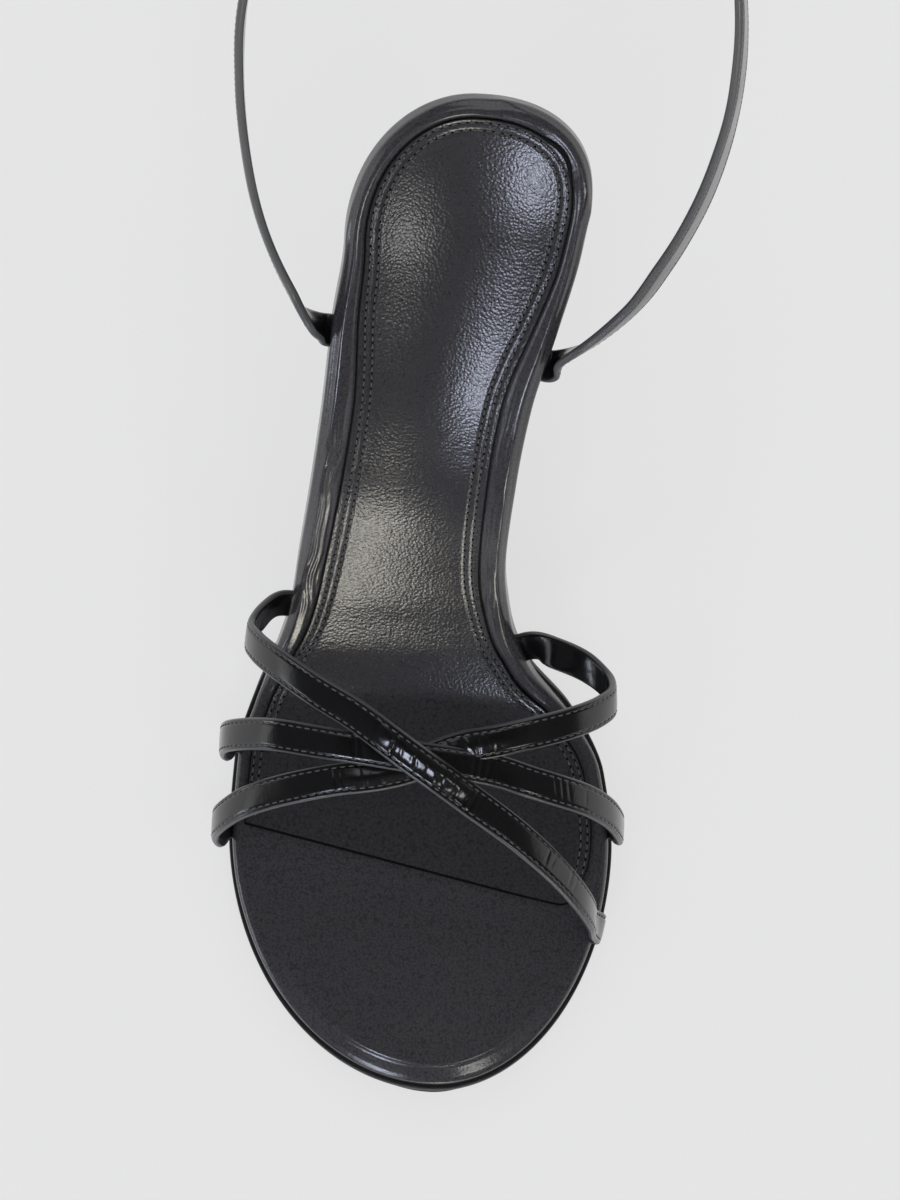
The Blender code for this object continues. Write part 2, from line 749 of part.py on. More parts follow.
def make_buckle(parts, looks, place):
    """A frame with round corners lying on the strap's tail, and its prong across it."""
    half_width = STRAP_WIDTH / 2 + CLEARANCE + BUCKLE_WIRE / 2
    half_length = BUCKLE_LENGTH / 2
    corner = BUCKLE_WIRE
    ring = []
    for x, y, turn in ((1, 1, 0), (-1, 1, 90), (-1, -1, 180), (1, -1, 270)):
        centre = Vector((x * (half_width - corner), y * (half_length - corner), 0.0))
        for step in (0, 30, 60, 90):
            angle = radians(turn + step)
            ring.append(place @ (centre + corner * Vector((cos(angle), sin(angle), 0.0))))
    wire("buckle_frame", ring, BUCKLE_WIRE, True, parts, looks["metal"])

    over = (BUCKLE_WIRE + PRONG_WIRE) / 2 + CLEARANCE
    reach_out = half_length + BUCKLE_WIRE / 2
    prong = [place @ Vector((0.0, y, over)) for y in (-reach_out, 0.0, reach_out)]
    wire("buckle_prong", prong, PRONG_WIRE, False, parts, looks["metal"])


def make_keeper(parts, cutters, looks, place):
    """A loop that holds the tail down on the strap."""
    inner = Vector((STRAP_WIDTH + 2 * CLEARANCE, 2 * KEEPER_WIDTH, 2 * STRAP_THICKNESS + 3 * CLEARANCE))
    outer = Vector((inner.x + 2 * KEEPER_WALL, KEEPER_WIDTH, inner.z + 2 * KEEPER_WALL))
    boxes = []
    for name, size, where, look in (
        ("strap_keeper", outer, parts, looks["leather"]),
        ("keeper opening", inner, cutters, None),
    ):
        bm = bmesh.new()
        bmesh.ops.create_cube(bm, size=1)
        bmesh.ops.transform(bm, matrix=place @ Matrix.Diagonal((*size, 1.0)), verts=bm.verts)
        boxes.append(new_object(name, bm, where, look))
    boolean(boxes[0], boxes[1], "DIFFERENCE")


def main():
    clear_scene()
    parts = new_collection("strappy heeled sandal")
    cutters = new_collection("cutters")
    looks = {
        "leather": material("black glossy leather", (0.012, 0.012, 0.013), 0.28),
        "lining": material("black lining leather", (0.016, 0.015, 0.017), 0.42),
        "sole": material("black outsole leather", (0.014, 0.014, 0.014), 0.50),
        "rubber": material("black heel rubber", (0.020, 0.020, 0.020), 0.70),
        "metal": material("pale gold buckle", (0.80, 0.62, 0.36), 0.25, 1.0),
    }
    courses = {
        "long strap": vamp_route(LONG_STRAP),
        "middle strap": vamp_route(MIDDLE_STRAP),
        "front strap": vamp_route(FRONT_STRAP),
        "ankle strap": ankle_route(),
    }
    make_sole(parts, cutters, looks, courses)
    make_heel(parts, cutters, looks)
    make_upper(parts, cutters, looks, courses)
    make_ankle_strap(parts, cutters, looks, courses["ankle strap"])


main()
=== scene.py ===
from math import cos, pi, radians, sin

import bpy
import numpy as np
from mathutils import Matrix, Vector


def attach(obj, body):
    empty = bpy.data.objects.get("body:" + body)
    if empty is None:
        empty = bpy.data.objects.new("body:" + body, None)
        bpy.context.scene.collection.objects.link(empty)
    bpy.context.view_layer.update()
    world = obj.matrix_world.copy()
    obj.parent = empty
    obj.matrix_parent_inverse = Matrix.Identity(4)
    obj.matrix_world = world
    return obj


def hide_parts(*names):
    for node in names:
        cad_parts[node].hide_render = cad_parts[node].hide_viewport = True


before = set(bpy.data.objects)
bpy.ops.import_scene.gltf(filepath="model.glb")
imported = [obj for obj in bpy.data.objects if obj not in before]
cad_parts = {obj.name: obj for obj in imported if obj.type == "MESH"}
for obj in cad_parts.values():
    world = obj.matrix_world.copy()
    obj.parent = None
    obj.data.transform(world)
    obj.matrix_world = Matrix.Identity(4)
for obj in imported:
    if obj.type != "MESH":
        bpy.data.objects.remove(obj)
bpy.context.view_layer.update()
print("frame loaded")

mm = 0.001


# The shoe's own sizes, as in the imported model

last = {
    "planLength": 0.2119,
    "ballToToe": 0.0716,
    "ballWidth": 0.0833,
    "waistWidth": 0.0450,
    "seatWidth": 0.0500,
    "heelRise": 0.0835,
    "toeSpring": 0.0065,
    "seatCup": 0.0028,
    "cupStarts": 0.45,
    "cupIsFull": 0.75,
    "cupCloses": 0.87,
    "clearance": 0.0003,
}

# along the length, then the lateral and medial reach as shares of a width
footOutline = [
    (0.000, 0.558, 0.442, "ballWidth"),
    (0.246, 0.558, 0.442, "ballWidth"),
    (0.332, 0.551, 0.411, "ballWidth"),
    (0.396, 0.509, 0.323, "ballWidth"),
    (0.449, 0.467, 0.206, "ballWidth"),
    (0.502, 0.791, 0.278, "waistWidth"),
    (0.554, 0.758, 0.244, "waistWidth"),
    (0.636, 0.702, 0.276, "waistWidth"),
    (0.706, 0.664, 0.329, "waistWidth"),
    (0.783, 0.570, 0.390, "seatWidth"),
    (0.859, 0.530, 0.470, "seatWidth"),
    (0.908, 0.530, 0.494, "seatWidth"),
    (1.000, 0.530, 0.494, "seatWidth"),
]
# where each side starts to round at toe and heel, and how full the rounds are
sideRounds = {"lateral": (0.269, 0.859, 2.0, 2.0), "medial": (0.246, 0.908, 2.0, 2.3)}

# along the length, then the height as shares of the heel's rise and the toe's spring
footProfile = [
    (-0.040, 0.000, 1.450),
    (0.000, 0.000, 1.000),
    (0.130, 0.000, 0.230),
    (0.201, 0.000, 0.000),
    (0.352, 0.000, 0.000),
    (0.400, 0.015, 0.000),
    (0.455, 0.075, 0.000),
    (0.505, 0.168, 0.000),
    (0.555, 0.287, 0.000),
    (0.605, 0.419, 0.000),
    (0.655, 0.539, 0.000),
    (0.705, 0.636, 0.000),
    (0.753, 0.712, 0.000),
    (0.800, 0.777, 0.000),
    (0.863, 0.856, 0.000),
    (0.933, 0.931, 0.000),
    (1.009, 1.000, 0.000),
    (1.050, 1.031, 0.000),
]


def fade(x, start, end):
    t = np.clip((x - start) / (end - start), 0, 1)
    return t * t * (3 - 2 * t)


def bump(x, centre, width):
    return np.exp(-(((x - centre) / width) ** 2))


def smoothTable(places, values, x):
    # a smooth curve through the rows that never swings past them
    places, values = np.asarray(places, float), np.asarray(values, float)
    steps = np.diff(values) / np.diff(places)
    slopes = np.concatenate([steps[:1], np.zeros(len(steps) - 1), steps[-1:]])
    sameWay = steps[:-1] * steps[1:] > 0
    before, after = steps[:-1][sameWay], steps[1:][sameWay]
    slopes[1:-1][sameWay] = 2 * before * after / (before + after)
    i = np.clip(np.searchsorted(places, x, side="right") - 1, 0, len(steps) - 1)
    width = places[i + 1] - places[i]
    t = (x - places[i]) / width
    inside = np.clip(t, 0, 1)
    value = (
        values[i] * (1 + 2 * inside) * (1 - inside) ** 2
        + values[i + 1] * inside**2 * (3 - 2 * inside)
        + slopes[i] * width * inside * (1 - inside) ** 2
        - slopes[i + 1] * width * inside**2 * (1 - inside)
    )
    return value + (t - inside) * width * np.where(t > 1, slopes[i + 1], slopes[i])


def column(rows, k, share):
    return smoothTable([row[0] for row in rows], [row[k] for row in rows], share)


def shareOf(y):
    return (y + last["ballToToe"]) / last["planLength"]


def placeOf(share):
    return share * last["planLength"] - last["ballToToe"]


def fullReach(side, share):
    k = 1 if side == "lateral" else 2
    widths = [row[k] * last[row[3]] for row in footOutline]
    return smoothTable([row[0] for row in footOutline], widths, share)


def reach(side, share):
    toe, heel, toePower, heelPower = sideRounds[side]
    front = np.clip((toe - share) / toe, 0, 1)
    back = np.clip((share - heel) / (1 - heel), 0, 1)
    toeRound = (1 - front**toePower) ** (1 / toePower)
    heelRound = (1 - back**heelPower) ** (1 / heelPower)
    return fullReach(side, share) * toeRound * heelRound


def hollowShape(x, share):
    # 1 along the middle of the foot, 0 at its edges and round the back of the heel
    inside = np.clip(share, 0.0, 1.0)
    lateral, medial = fullReach("lateral", inside), fullReach("medial", inside)
    across = (x - (medial - lateral) / 2) / ((medial + lateral) / 2)
    behind = np.clip((share - last["cupCloses"]) / (1 - last["cupCloses"]), 0, 1)
    return np.clip(1 - across**2 - behind**2, 0, 1)


def lastHeight(x, y):
    share = shareOf(y)
    rise = column(footProfile, 1, share) * last["heelRise"]
    spring = column(footProfile, 2, share) * last["toeSpring"]
    cup = last["seatCup"] * fade(share, last["cupStarts"], last["cupIsFull"]) * hollowShape(x, share)
    return outsoleLook["thickness"] + rise + spring - cup


def overLast(x, y, depth):
    # points this far above the last's bottom, square to it
    x, y = np.asarray(x, float), np.asarray(y, float)
    step = 0.5 * mm
    slopeX = (lastHeight(x + step, y) - lastHeight(x - step, y)) / (2 * step)
    slopeY = (lastHeight(x, y + step) - lastHeight(x, y - step)) / (2 * step)
    normal = np.stack([-slopeX, -slopeY, np.ones_like(slopeX)], axis=-1)
    normal /= np.linalg.norm(normal, axis=-1, keepdims=True)
    base = np.stack([x, y, lastHeight(x, y)], axis=-1)
    return base + normal * np.asarray(depth, float)[..., None]


rimCount = 241


def closedRim(offset=None):
    # the outline from the toe along the lateral side, round the heel and back, with its outward way
    share = (1 - np.cos(np.linspace(0, pi, rimCount))) / 2
    y = placeOf(share)
    lateral = np.column_stack([-reach("lateral", share), y])
    medial = np.column_stack([reach("medial", share), y])
    points = np.concatenate([lateral, medial[-2:0:-1]])
    ahead = np.roll(points, -1, axis=0) - np.roll(points, 1, axis=0)
    outward = np.column_stack([-ahead[:, 1], ahead[:, 0]])
    outward /= np.linalg.norm(outward, axis=1)[:, None]
    if offset:
        points = points + outward * offset(shareOf(points[:, 1]), points[:, 0] > 0)[:, None]
    return points, outward


def half(line, side):
    if side == "lateral":
        return line[:rimCount]
    return np.concatenate([line[:1], line[: rimCount - 2 : -1]])


def resample(line, count, start=0.0, end=None):
    # rows of a line read at even steps of its index, between two indices
    spots = np.linspace(start, len(line) - 1 if end is None else end, count)
    return np.column_stack([np.interp(spots, np.arange(len(line)), line[:, k]) for k in range(line.shape[1])])


def indexAt(line, share):
    return np.interp(placeOf(share), line[:, 1], np.arange(len(line)))


def edgePoint(line, share):
    y = placeOf(share)
    return np.array([np.interp(y, line[:, 1], line[:, 0]), y])


# Mesh helpers


def deselectAll():
    if bpy.context.object and bpy.context.object.mode != "OBJECT":
        bpy.ops.object.mode_set(mode="OBJECT")
    bpy.ops.object.select_all(action="DESELECT")


def takeOnly(piece):
    deselectAll()
    piece.select_set(True)
    bpy.context.view_layer.objects.active = piece


def surfaceGrid(name, points, finish, uv=None):
    # a grid primitive laid through rows and columns of points; edges that meet are merged
    rows, columns = points.shape[:2]
    deselectAll()
    bpy.ops.mesh.primitive_grid_add(x_subdivisions=columns - 1, y_subdivisions=rows - 1, size=1)
    piece = bpy.context.object
    piece.name = name
    piece.data.name = name
    mesh = piece.data
    if len(mesh.vertices) != rows * columns:
        raise RuntimeError(f"{name}: the grid has {len(mesh.vertices)} points, not {rows * columns}")
    mesh.vertices.foreach_set("co", np.ascontiguousarray(points, float).reshape(-1))
    if uv is not None:
        corners = np.empty(len(mesh.loops), int)
        mesh.loops.foreach_get("vertex_index", corners)
        mesh.uv_layers[0].data.foreach_set("uv", uv.reshape(-1, 2)[corners].reshape(-1))
    bpy.ops.object.mode_set(mode="EDIT")
    bpy.ops.mesh.select_all(action="SELECT")
    bpy.ops.mesh.remove_doubles(threshold=0.000001)
    bpy.ops.mesh.dissolve_degenerate(threshold=0.0000005)
    bpy.ops.mesh.select_all(action="SELECT")
    bpy.ops.mesh.normals_make_consistent(inside=False)
    bpy.ops.object.mode_set(mode="OBJECT")
    bpy.ops.object.shade_smooth()
    mesh.materials.append(finish)
    return piece


def applyModifier(piece, kind, **settings):
    takeOnly(piece)
    made = piece.modifiers.new(kind.title(), kind)
    for key, value in settings.items():
        setattr(made, key, value)
    bpy.ops.object.modifier_apply(modifier=made.name)


def joinPieces(pieces, name):
    deselectAll()
    for piece in pieces:
        piece.select_set(True)
    bpy.context.view_layer.objects.active = pieces[0]
    bpy.ops.object.join()
    joined = bpy.context.object
    joined.name = name
    joined.data.name = name
    bpy.ops.object.transform_apply(location=True, rotation=True, scale=True)
    return joined


def settle(piece, slot, *nodes):
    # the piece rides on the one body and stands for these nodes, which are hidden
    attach(piece, "root")
    if nodes:
        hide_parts(*nodes)


# Finishes


leathers = {
    "strap leather": {
        "colour": (0.0042, 0.0042, 0.0046), "roughness": (0.15, 0.25), "specular": 0.60,
        "grainSize": 0.55 * mm, "grainDepth": 0.008 * mm, "rippleSize": 2.2 * mm, "rippleDepth": 0.05 * mm,
        "coat": 0.15, "folded": True, "pitted": False,
    },
    "footbed leather": {
        "colour": (0.0420, 0.0405, 0.0450), "roughness": (0.15, 0.22), "specular": 0.60,
        "grainSize": 0.50 * mm, "grainDepth": 0.014 * mm, "rippleSize": 2.6 * mm, "rippleDepth": 0.05 * mm,
        "coat": 0.0, "folded": False, "pitted": False,
    },
    "sock leather": {
        "colour": (0.0290, 0.0275, 0.0305), "roughness": (0.15, 0.26), "specular": 0.65,
        "grainSize": 0.62 * mm, "grainDepth": 0.046 * mm, "rippleSize": 5.0 * mm, "rippleDepth": 0.06 * mm,
        "coat": 0.0, "folded": False, "pitted": True,
    },
    "outsole leather": {
        "colour": (0.0120, 0.0118, 0.0118), "roughness": (0.42, 0.55), "specular": 0.45,
        "grainSize": 0.35 * mm, "grainDepth": 0.012 * mm, "rippleSize": 6.0 * mm, "rippleDepth": 0.03 * mm,
        "coat": 0.0, "folded": False, "pitted": False,
    },
    "heel leather": {
        "colour": (0.0056, 0.0056, 0.0060), "roughness": (0.18, 0.26), "specular": 0.6,
        "grainSize": 0.50 * mm, "grainDepth": 0.008 * mm, "rippleSize": 6.0 * mm, "rippleDepth": 0.02 * mm,
        "coat": 0.15, "folded": False, "pitted": False,
    },
}
# a paler grey along a strap's folded edges, a painted reflection of the side light, and the fine lines across
# it
foldLook = {
    "colour": (0.060, 0.060, 0.064),
    "starts": 2.95 * mm,
    "ends": 3.40 * mm,
    "duller": 0.22,
    "lineLength": 5.0 * mm,
    "lineGap": 0.45 * mm,
    "lineDepth": 0.020 * mm,
}


def newFinish(name, colour, roughness, metallic=0.0, specular=0.5, coat=0.0):
    finish = bpy.data.materials.new(name)
    finish.use_nodes = True
    shader = finish.node_tree.nodes["Principled BSDF"]
    shader.inputs["Base Color"].default_value = (*colour, 1.0)
    shader.inputs["Roughness"].default_value = roughness
    shader.inputs["Metallic"].default_value = metallic
    shader.inputs["Specular IOR Level"].default_value = specular
    shader.inputs["Coat Weight"].default_value = coat
    shader.inputs["Coat Roughness"].default_value = 0.12
    return finish, finish.node_tree.nodes, finish.node_tree.links, shader


def addNode(nodes, kind, values):
    node = nodes.new(kind)
    for name, value in values.items():
        node.inputs[name].default_value = value
    return node


def addPattern(nodes, links, place, kind, values):
    # a texture, or a change of coordinates, laid over this place
    pattern = addNode(nodes, kind, values)
    links.new(place, pattern.inputs["Vector"])
    return pattern


def addRelief(nodes, links, height, depth, under=None):
    # a bump this deep, on top of another one
    relief = addNode(nodes, "ShaderNodeBump", {"Distance": depth})
    links.new(height, relief.inputs["Height"])
    if under:
        links.new(under.outputs["Normal"], relief.inputs["Normal"])
    return relief


def leatherFinish(name):
    look = leathers[name]
    low, high = look["roughness"]
    finish, nodes, links, shader = newFinish(
        name, look["colour"], high, specular=look["specular"], coat=look["coat"]
    )
    where = nodes.new("ShaderNodeTexCoord")
    place = where.outputs["Object"]
    cells = addPattern(nodes, links, place, "ShaderNodeTexVoronoi", {"Scale": 1 / look["grainSize"]})
    cells.feature = "SMOOTH_F1"  # the pebbles of the grain
    cells.inputs["Smoothness"].default_value = 0.35
    uneven = {"Scale": 1 / look["rippleSize"], "Detail": 4.0}
    ripple = addPattern(nodes, links, place, "ShaderNodeTexNoise", uneven)
    broad = addRelief(nodes, links, ripple.outputs["Fac"], look["rippleDepth"])
    fine = addRelief(nodes, links, cells.outputs["Distance"], look["grainDepth"], broad)
    fine.invert = True
    links.new(fine.outputs["Normal"], shader.inputs["Normal"])

    if look["pitted"]:  # the pebbles' tops shine, the creases between them don't
        starts, ends, source = 0.15, 0.60, cells.outputs["Distance"]
    else:  # duller and shinier patches
        patch = addPattern(nodes, links, place, "ShaderNodeTexNoise", {"Scale": 60.0, "Detail": 5.0})
        starts, ends, source = 0.35, 0.65, patch.outputs["Fac"]
    span = {"From Min": starts, "From Max": ends, "To Min": low, "To Max": high}
    gloss = addNode(nodes, "ShaderNodeMapRange", span)
    links.new(source, gloss.inputs["Value"])
    links.new(gloss.outputs["Result"], shader.inputs["Roughness"])

    pitShadedColour = nodes.new("ShaderNodeValToRGB")  # painted shade: lighter pebble tops and darker creases between the pebbles
    pitShadedColour.color_ramp.elements[0].color = (*[c * 1.25 for c in look["colour"]], 1)
    pitShadedColour.color_ramp.elements[1].color = (*[c * 0.6 for c in look["colour"]], 1)
    pitShadedColour.color_ramp.elements[0].position = 0.2
    pitShadedColour.color_ramp.elements[1].position = 0.9
    links.new(cells.outputs["Distance"], pitShadedColour.inputs["Fac"])
    links.new(pitShadedColour.outputs["Color"], shader.inputs["Base Color"])
    if look["folded"]:
        addFolds(nodes, links, where, shader, pitShadedColour, gloss, fine)
    return finish


def addFolds(nodes, links, where, shader, pitShadedColour, gloss, fine):
    # the strap's own map: X across it and Y along it, in metres
    look = foldLook
    parts = nodes.new("ShaderNodeSeparateXYZ")
    links.new(where.outputs["UV"], parts.inputs["Vector"])
    aside = nodes.new("ShaderNodeMath")
    aside.operation = "ABSOLUTE"
    links.new(parts.outputs["X"], aside.inputs[0])
    edge = addNode(nodes, "ShaderNodeMapRange", {"From Min": look["starts"], "From Max": look["ends"]})
    edge.interpolation_type = "SMOOTHSTEP"
    links.new(aside.outputs["Value"], edge.inputs["Value"])
    # painted reflection: the folded edges turn a paler grey than the strap's face
    foldSheenMix = nodes.new("ShaderNodeMix")
    foldSheenMix.data_type = "RGBA"
    foldSheenMix.inputs["B"].default_value = (*look["colour"], 1)
    links.new(edge.outputs["Result"], foldSheenMix.inputs["Factor"])
    links.new(pitShadedColour.outputs["Color"], foldSheenMix.inputs["A"])
    links.new(foldSheenMix.outputs["Result"], shader.inputs["Base Color"])
    dull = nodes.new("ShaderNodeMath")
    dull.operation = "MULTIPLY_ADD"
    dull.inputs[1].default_value = look["duller"]
    links.new(edge.outputs["Result"], dull.inputs[0])
    links.new(gloss.outputs["Result"], dull.inputs[2])
    links.new(dull.outputs["Value"], shader.inputs["Roughness"])
    stretch = {"Scale": (1 / look["lineLength"], 1 / look["lineGap"], 1.0)}
    stretched = addPattern(nodes, links, where.outputs["UV"], "ShaderNodeMapping", stretch)
    fineLines = {"Scale": 1.0, "Detail": 3.0}
    lines = addPattern(nodes, links, stretched.outputs["Vector"], "ShaderNodeTexNoise", fineLines)
    relief = addRelief(nodes, links, lines.outputs["Fac"], look["lineDepth"], fine)
    links.new(relief.outputs["Normal"], shader.inputs["Normal"])


def threadFinish():
    finish, nodes, links, shader = newFinish("waxed thread", (0.080, 0.080, 0.085), 0.50)
    place = nodes.new("ShaderNodeTexCoord").outputs["Object"]
    twist = addPattern(nodes, links, place, "ShaderNodeTexWave", {"Scale": 1800.0})
    twist.bands_direction = "DIAGONAL"
    relief = addRelief(nodes, links, twist.outputs["Fac"], 0.02 * mm)
    links.new(relief.outputs["Normal"], shader.inputs["Normal"])
    return finish


def rubberFinish():
    finish, nodes, links, shader = newFinish("heel rubber", (0.016, 0.016, 0.016), 0.62)
    place = nodes.new("ShaderNodeTexCoord").outputs["Object"]
    grit = addPattern(nodes, links, place, "ShaderNodeTexNoise", {"Scale": 1500.0, "Detail": 6.0})
    relief = addRelief(nodes, links, grit.outputs["Fac"], 0.03 * mm)
    links.new(relief.outputs["Normal"], shader.inputs["Normal"])
    return finish


def metalFinish():
    finish, nodes, links, shader = newFinish("pale gold", (0.80, 0.62, 0.36), 0.22, metallic=1.0)
    place = nodes.new("ShaderNodeTexCoord").outputs["Object"]
    marks = addPattern(nodes, links, place, "ShaderNodeTexNoise", {"Scale": 900.0, "Detail": 4.0})
    gloss = addNode(nodes, "ShaderNodeMapRange", {"To Min": 0.14, "To Max": 0.32})
    links.new(marks.outputs["Fac"], gloss.inputs["Value"])
    links.new(gloss.outputs["Result"], shader.inputs["Roughness"])
    return finish


finishes = {name: leatherFinish(name) for name in leathers}
finishes["thread"] = threadFinish()
# painted shadow: a near-black finish for the line along the sock's edge
finishes["cut edge"] = newFinish("painted cut edge", (0.001, 0.001, 0.001), 0.60, specular=0.2)[0]
# painted shade: a near-black, unshiny finish for the needle holes
finishes["pinhole shade"] = newFinish("pinhole shade", (0.001, 0.001, 0.001), 0.9, specular=0.0)[0]
finishes["rubber"] = rubberFinish()
finishes["metal"] = metalFinish()
print("finishes made")


# Camera, floor and light

photoView = {
    "height": 1.2,
    "roll": 2.7555,
    "overX": -0.00078,
    "overY": 0.03548,
    "lens": 108.0,
    "sensor": 24.0,
}


def makeCamera():
    camera = bpy.data.objects.new("camera", bpy.data.cameras.new("camera"))
    bpy.context.scene.collection.objects.link(camera)
    camera.location = (photoView["overX"], photoView["overY"], photoView["height"])
    camera.rotation_euler = (0.0, 0.0, radians(photoView["roll"]))
    camera.data.sensor_fit = "VERTICAL"
    camera.data.sensor_height = photoView["sensor"]
    camera.data.lens = photoView["lens"]
    bpy.context.scene.camera = camera


floorLook = {"size": 9.0, "below": 0.05 * mm, "colour": 0.15, "glow": 0.66}


def makeFloor():
    deselectAll()
    bpy.ops.mesh.primitive_plane_add(size=floorLook["size"], location=(0, 0, -floorLook["below"]))
    floor = bpy.context.object
    floor.name = "floor"
    bpy.ops.object.transform_apply(location=True)
    grey = floorLook["colour"]
    finish, nodes, links, shader = newFinish("pale paper", (grey, grey, grey), 0.9, specular=0.1)
    shader.inputs["Emission Color"].default_value = (1, 1, 1, 1)
    shader.inputs["Emission Strength"].default_value = floorLook["glow"]
    floor.data.materials.append(finish)


# softboxes of the studio, each a round patch of the sky: azimuth from +X, height over the floor and
# reach in degrees, how soft its edge is, its colour and its strength
studio = {
    "ceiling": 0.03,
    "ceilingReach": (16.0, 34.0),
    "wall": (0.09, 0.09, 0.095),
    "fill": 1.6,
    "fillSpread": 110.0,
    "softboxes": [
        ("warm lamp", -83.0, 1.0, 11.0, 7.0, (1.00, 0.97, 0.86), 11.0),
        ("cool lamp", -114.0, 29.0, 9.0, 6.0, (0.84, 0.90, 1.10), 14.0),
        ("toe lamp", -60.0, 42.0, 8.0, 5.0, (1.00, 0.99, 0.95), 8.0),
        ("outer lamp", -158.0, -2.0, 16.0, 10.0, (0.88, 0.93, 1.08), 4.5),
        ("inner side", 5.0, -4.0, 22.0, 12.0, (1.0, 1.0, 1.0), 0.7),
        ("outer side", 178.0, -4.0, 22.0, 12.0, (1.0, 1.0, 1.0), 1.2),
        ("heel side", 92.0, 36.0, 30.0, 18.0, (0.96, 0.98, 1.02), 1.0),
    ],
}


def makeStudio():
    world = bpy.data.worlds.new("studio")
    bpy.context.scene.world = world
    world.use_nodes = True
    nodes, links = world.node_tree.nodes, world.node_tree.links
    nodes.clear()
    where = nodes.new("ShaderNodeTexCoord")
    way = nodes.new("ShaderNodeVectorMath")
    way.operation = "NORMALIZE"
    links.new(where.outputs["Generated"], way.inputs[0])

    def patch(azimuth, height, inner, outer):
        # 1 within the inner angle of a direction, 0 past the outer one
        turn, up = radians(azimuth), radians(height)
        near = nodes.new("ShaderNodeVectorMath")
        near.operation = "DOT_PRODUCT"
        near.inputs[1].default_value = (cos(turn) * cos(up), sin(turn) * cos(up), sin(up))
        links.new(way.outputs["Vector"], near.inputs[0])
        ramp = nodes.new("ShaderNodeMapRange")
        ramp.interpolation_type = "SMOOTHSTEP"
        ramp.inputs["From Min"].default_value = cos(radians(outer))
        ramp.inputs["From Max"].default_value = cos(radians(max(inner, 0.0)))
        links.new(near.outputs["Value"], ramp.inputs["Value"])
        return ramp.outputs["Result"]

    def tinted(amount, colour, strength):
        scaled = nodes.new("ShaderNodeVectorMath")
        scaled.operation = "SCALE"
        scaled.inputs[0].default_value = [c * strength for c in colour]
        links.new(amount, scaled.inputs["Scale"])
        return scaled.outputs["Vector"]

    overhead = patch(0.0, 90.0, *studio["ceilingReach"])
    walls = nodes.new("ShaderNodeMix")
    walls.data_type = "RGBA"
    walls.inputs["A"].default_value = (*studio["wall"], 1)
    dark = studio["ceiling"]
    walls.inputs["B"].default_value = (dark, dark, dark, 1)
    links.new(overhead, walls.inputs["Factor"])
    total = walls.outputs["Result"]
    for name, azimuth, height, size, edge, colour, strength in studio["softboxes"]:
        glow = tinted(patch(azimuth, height, size - edge, size), colour, strength)
        added = nodes.new("ShaderNodeVectorMath")
        added.operation = "ADD"
        added.label = name
        links.new(total, added.inputs[0])
        links.new(glow, added.inputs[1])
        total = added.outputs["Vector"]
    sky = nodes.new("ShaderNodeBackground")
    links.new(total, sky.inputs["Color"])
    out = nodes.new("ShaderNodeOutputWorld")
    links.new(sky.outputs["Background"], out.inputs["Surface"])
    bpy.context.scene.view_settings.view_transform = "Standard"
    # soft fill from straight above, which no shine mirrors
    fill = bpy.data.objects.new("fill light", bpy.data.lights.new("fill light", "SUN"))
    fill.data.energy = studio["fill"]
    fill.data.angle = radians(studio["fillSpread"])
    fill.visible_glossy = False
    bpy.context.scene.collection.objects.link(fill)


# Outsole

outsoleLook = {
    "thickness": 0.0025,
    "proud": 0.0009,
    "edge": 0.5 * mm,
    "drawsIn": (0.38, 0.50),
    "endsAt": 0.785,
    "rows": 260,
}


def outsoleOffset(share, medial):
    return outsoleLook["proud"] * (1 - 2 * fade(share, *outsoleLook["drawsIn"]))


def capRow(row):
    return np.repeat(row.mean(axis=0)[None], len(row), axis=0)[None]


def makeOutsole():
    look = outsoleLook
    line, outward = closedRim(outsoleOffset)
    thickness, edge = look["thickness"], look["edge"]
    section = [(-edge, 0.0)]  # how far out of the outline, and the depth
    for angle in np.linspace(90, 0, 5):
        section.append((edge * (cos(radians(angle)) - 1), edge * (sin(radians(angle)) - 1)))
    for angle in np.linspace(0, -90, 5):
        section.append((edge * (cos(radians(angle)) - 1), edge * (sin(radians(angle)) + 1) - thickness))
    sides = []
    for side in ("lateral", "medial"):
        edgeLine, way = half(line, side), half(outward, side)
        end = indexAt(edgeLine, look["endsAt"])
        columns = []
        for out, depth in section[1:]:
            moved = resample(edgeLine + way * out, look["rows"], 0, end)
            columns.append(overLast(moved[:, 0], moved[:, 1], np.full(look["rows"], depth)))
        sides.append(np.stack(columns, axis=1))
    lateral, medial = sides
    flats = []
    for depth, k in ((0.0, 0), (-thickness, -1)):
        t = np.linspace(0, 1, 26)[None, 1:-1, None]
        plan = lateral[:, k, None, :2] * (1 - t) + medial[:, k, None, :2] * t
        flats.append(overLast(plan[..., 0], plan[..., 1], np.full(plan.shape[:2], depth)))
    top, bottom = flats
    loop = np.concatenate([top, medial, bottom[:, ::-1], lateral[:, ::-1], top[:, :1]], axis=1)
    loop = np.concatenate([loop, capRow(loop[-1])])
    piece = surfaceGrid("outsoleLeather", loop, finishes["outsole leather"])
    settle(piece, "outsole_leather", "outsole")
    return piece


# Footbed: a covered insole board, rolled over at its edge

footbedLook = {
    "thickness": 0.0052,
    "roll": 2.0 * mm,
    "rows": 420,
    "band": 12.0 * mm,
    "bandStep": 0.35 * mm,
    "middle": 36,
    "crest": 1.10 * mm,
    "crestStarts": (0.40, 0.52),
    "hollow": 2.5 * mm,
    "hollowStarts": (0.27, 0.42),
    "pad": 1.0 * mm,
    "padStarts": (0.41, 0.50),
    "padEnds": (0.54, 0.68),
    "bevelEnds": (0.02, 0.13),
    "toeWall": 2.0 * mm,
    "brow": (1.0 * mm, 1.2 * mm),
    "slope": (1.75 * mm, 0.5 * mm, 3.4 * mm),
    "bead": (3.0 * mm, 4.0 * mm),
}

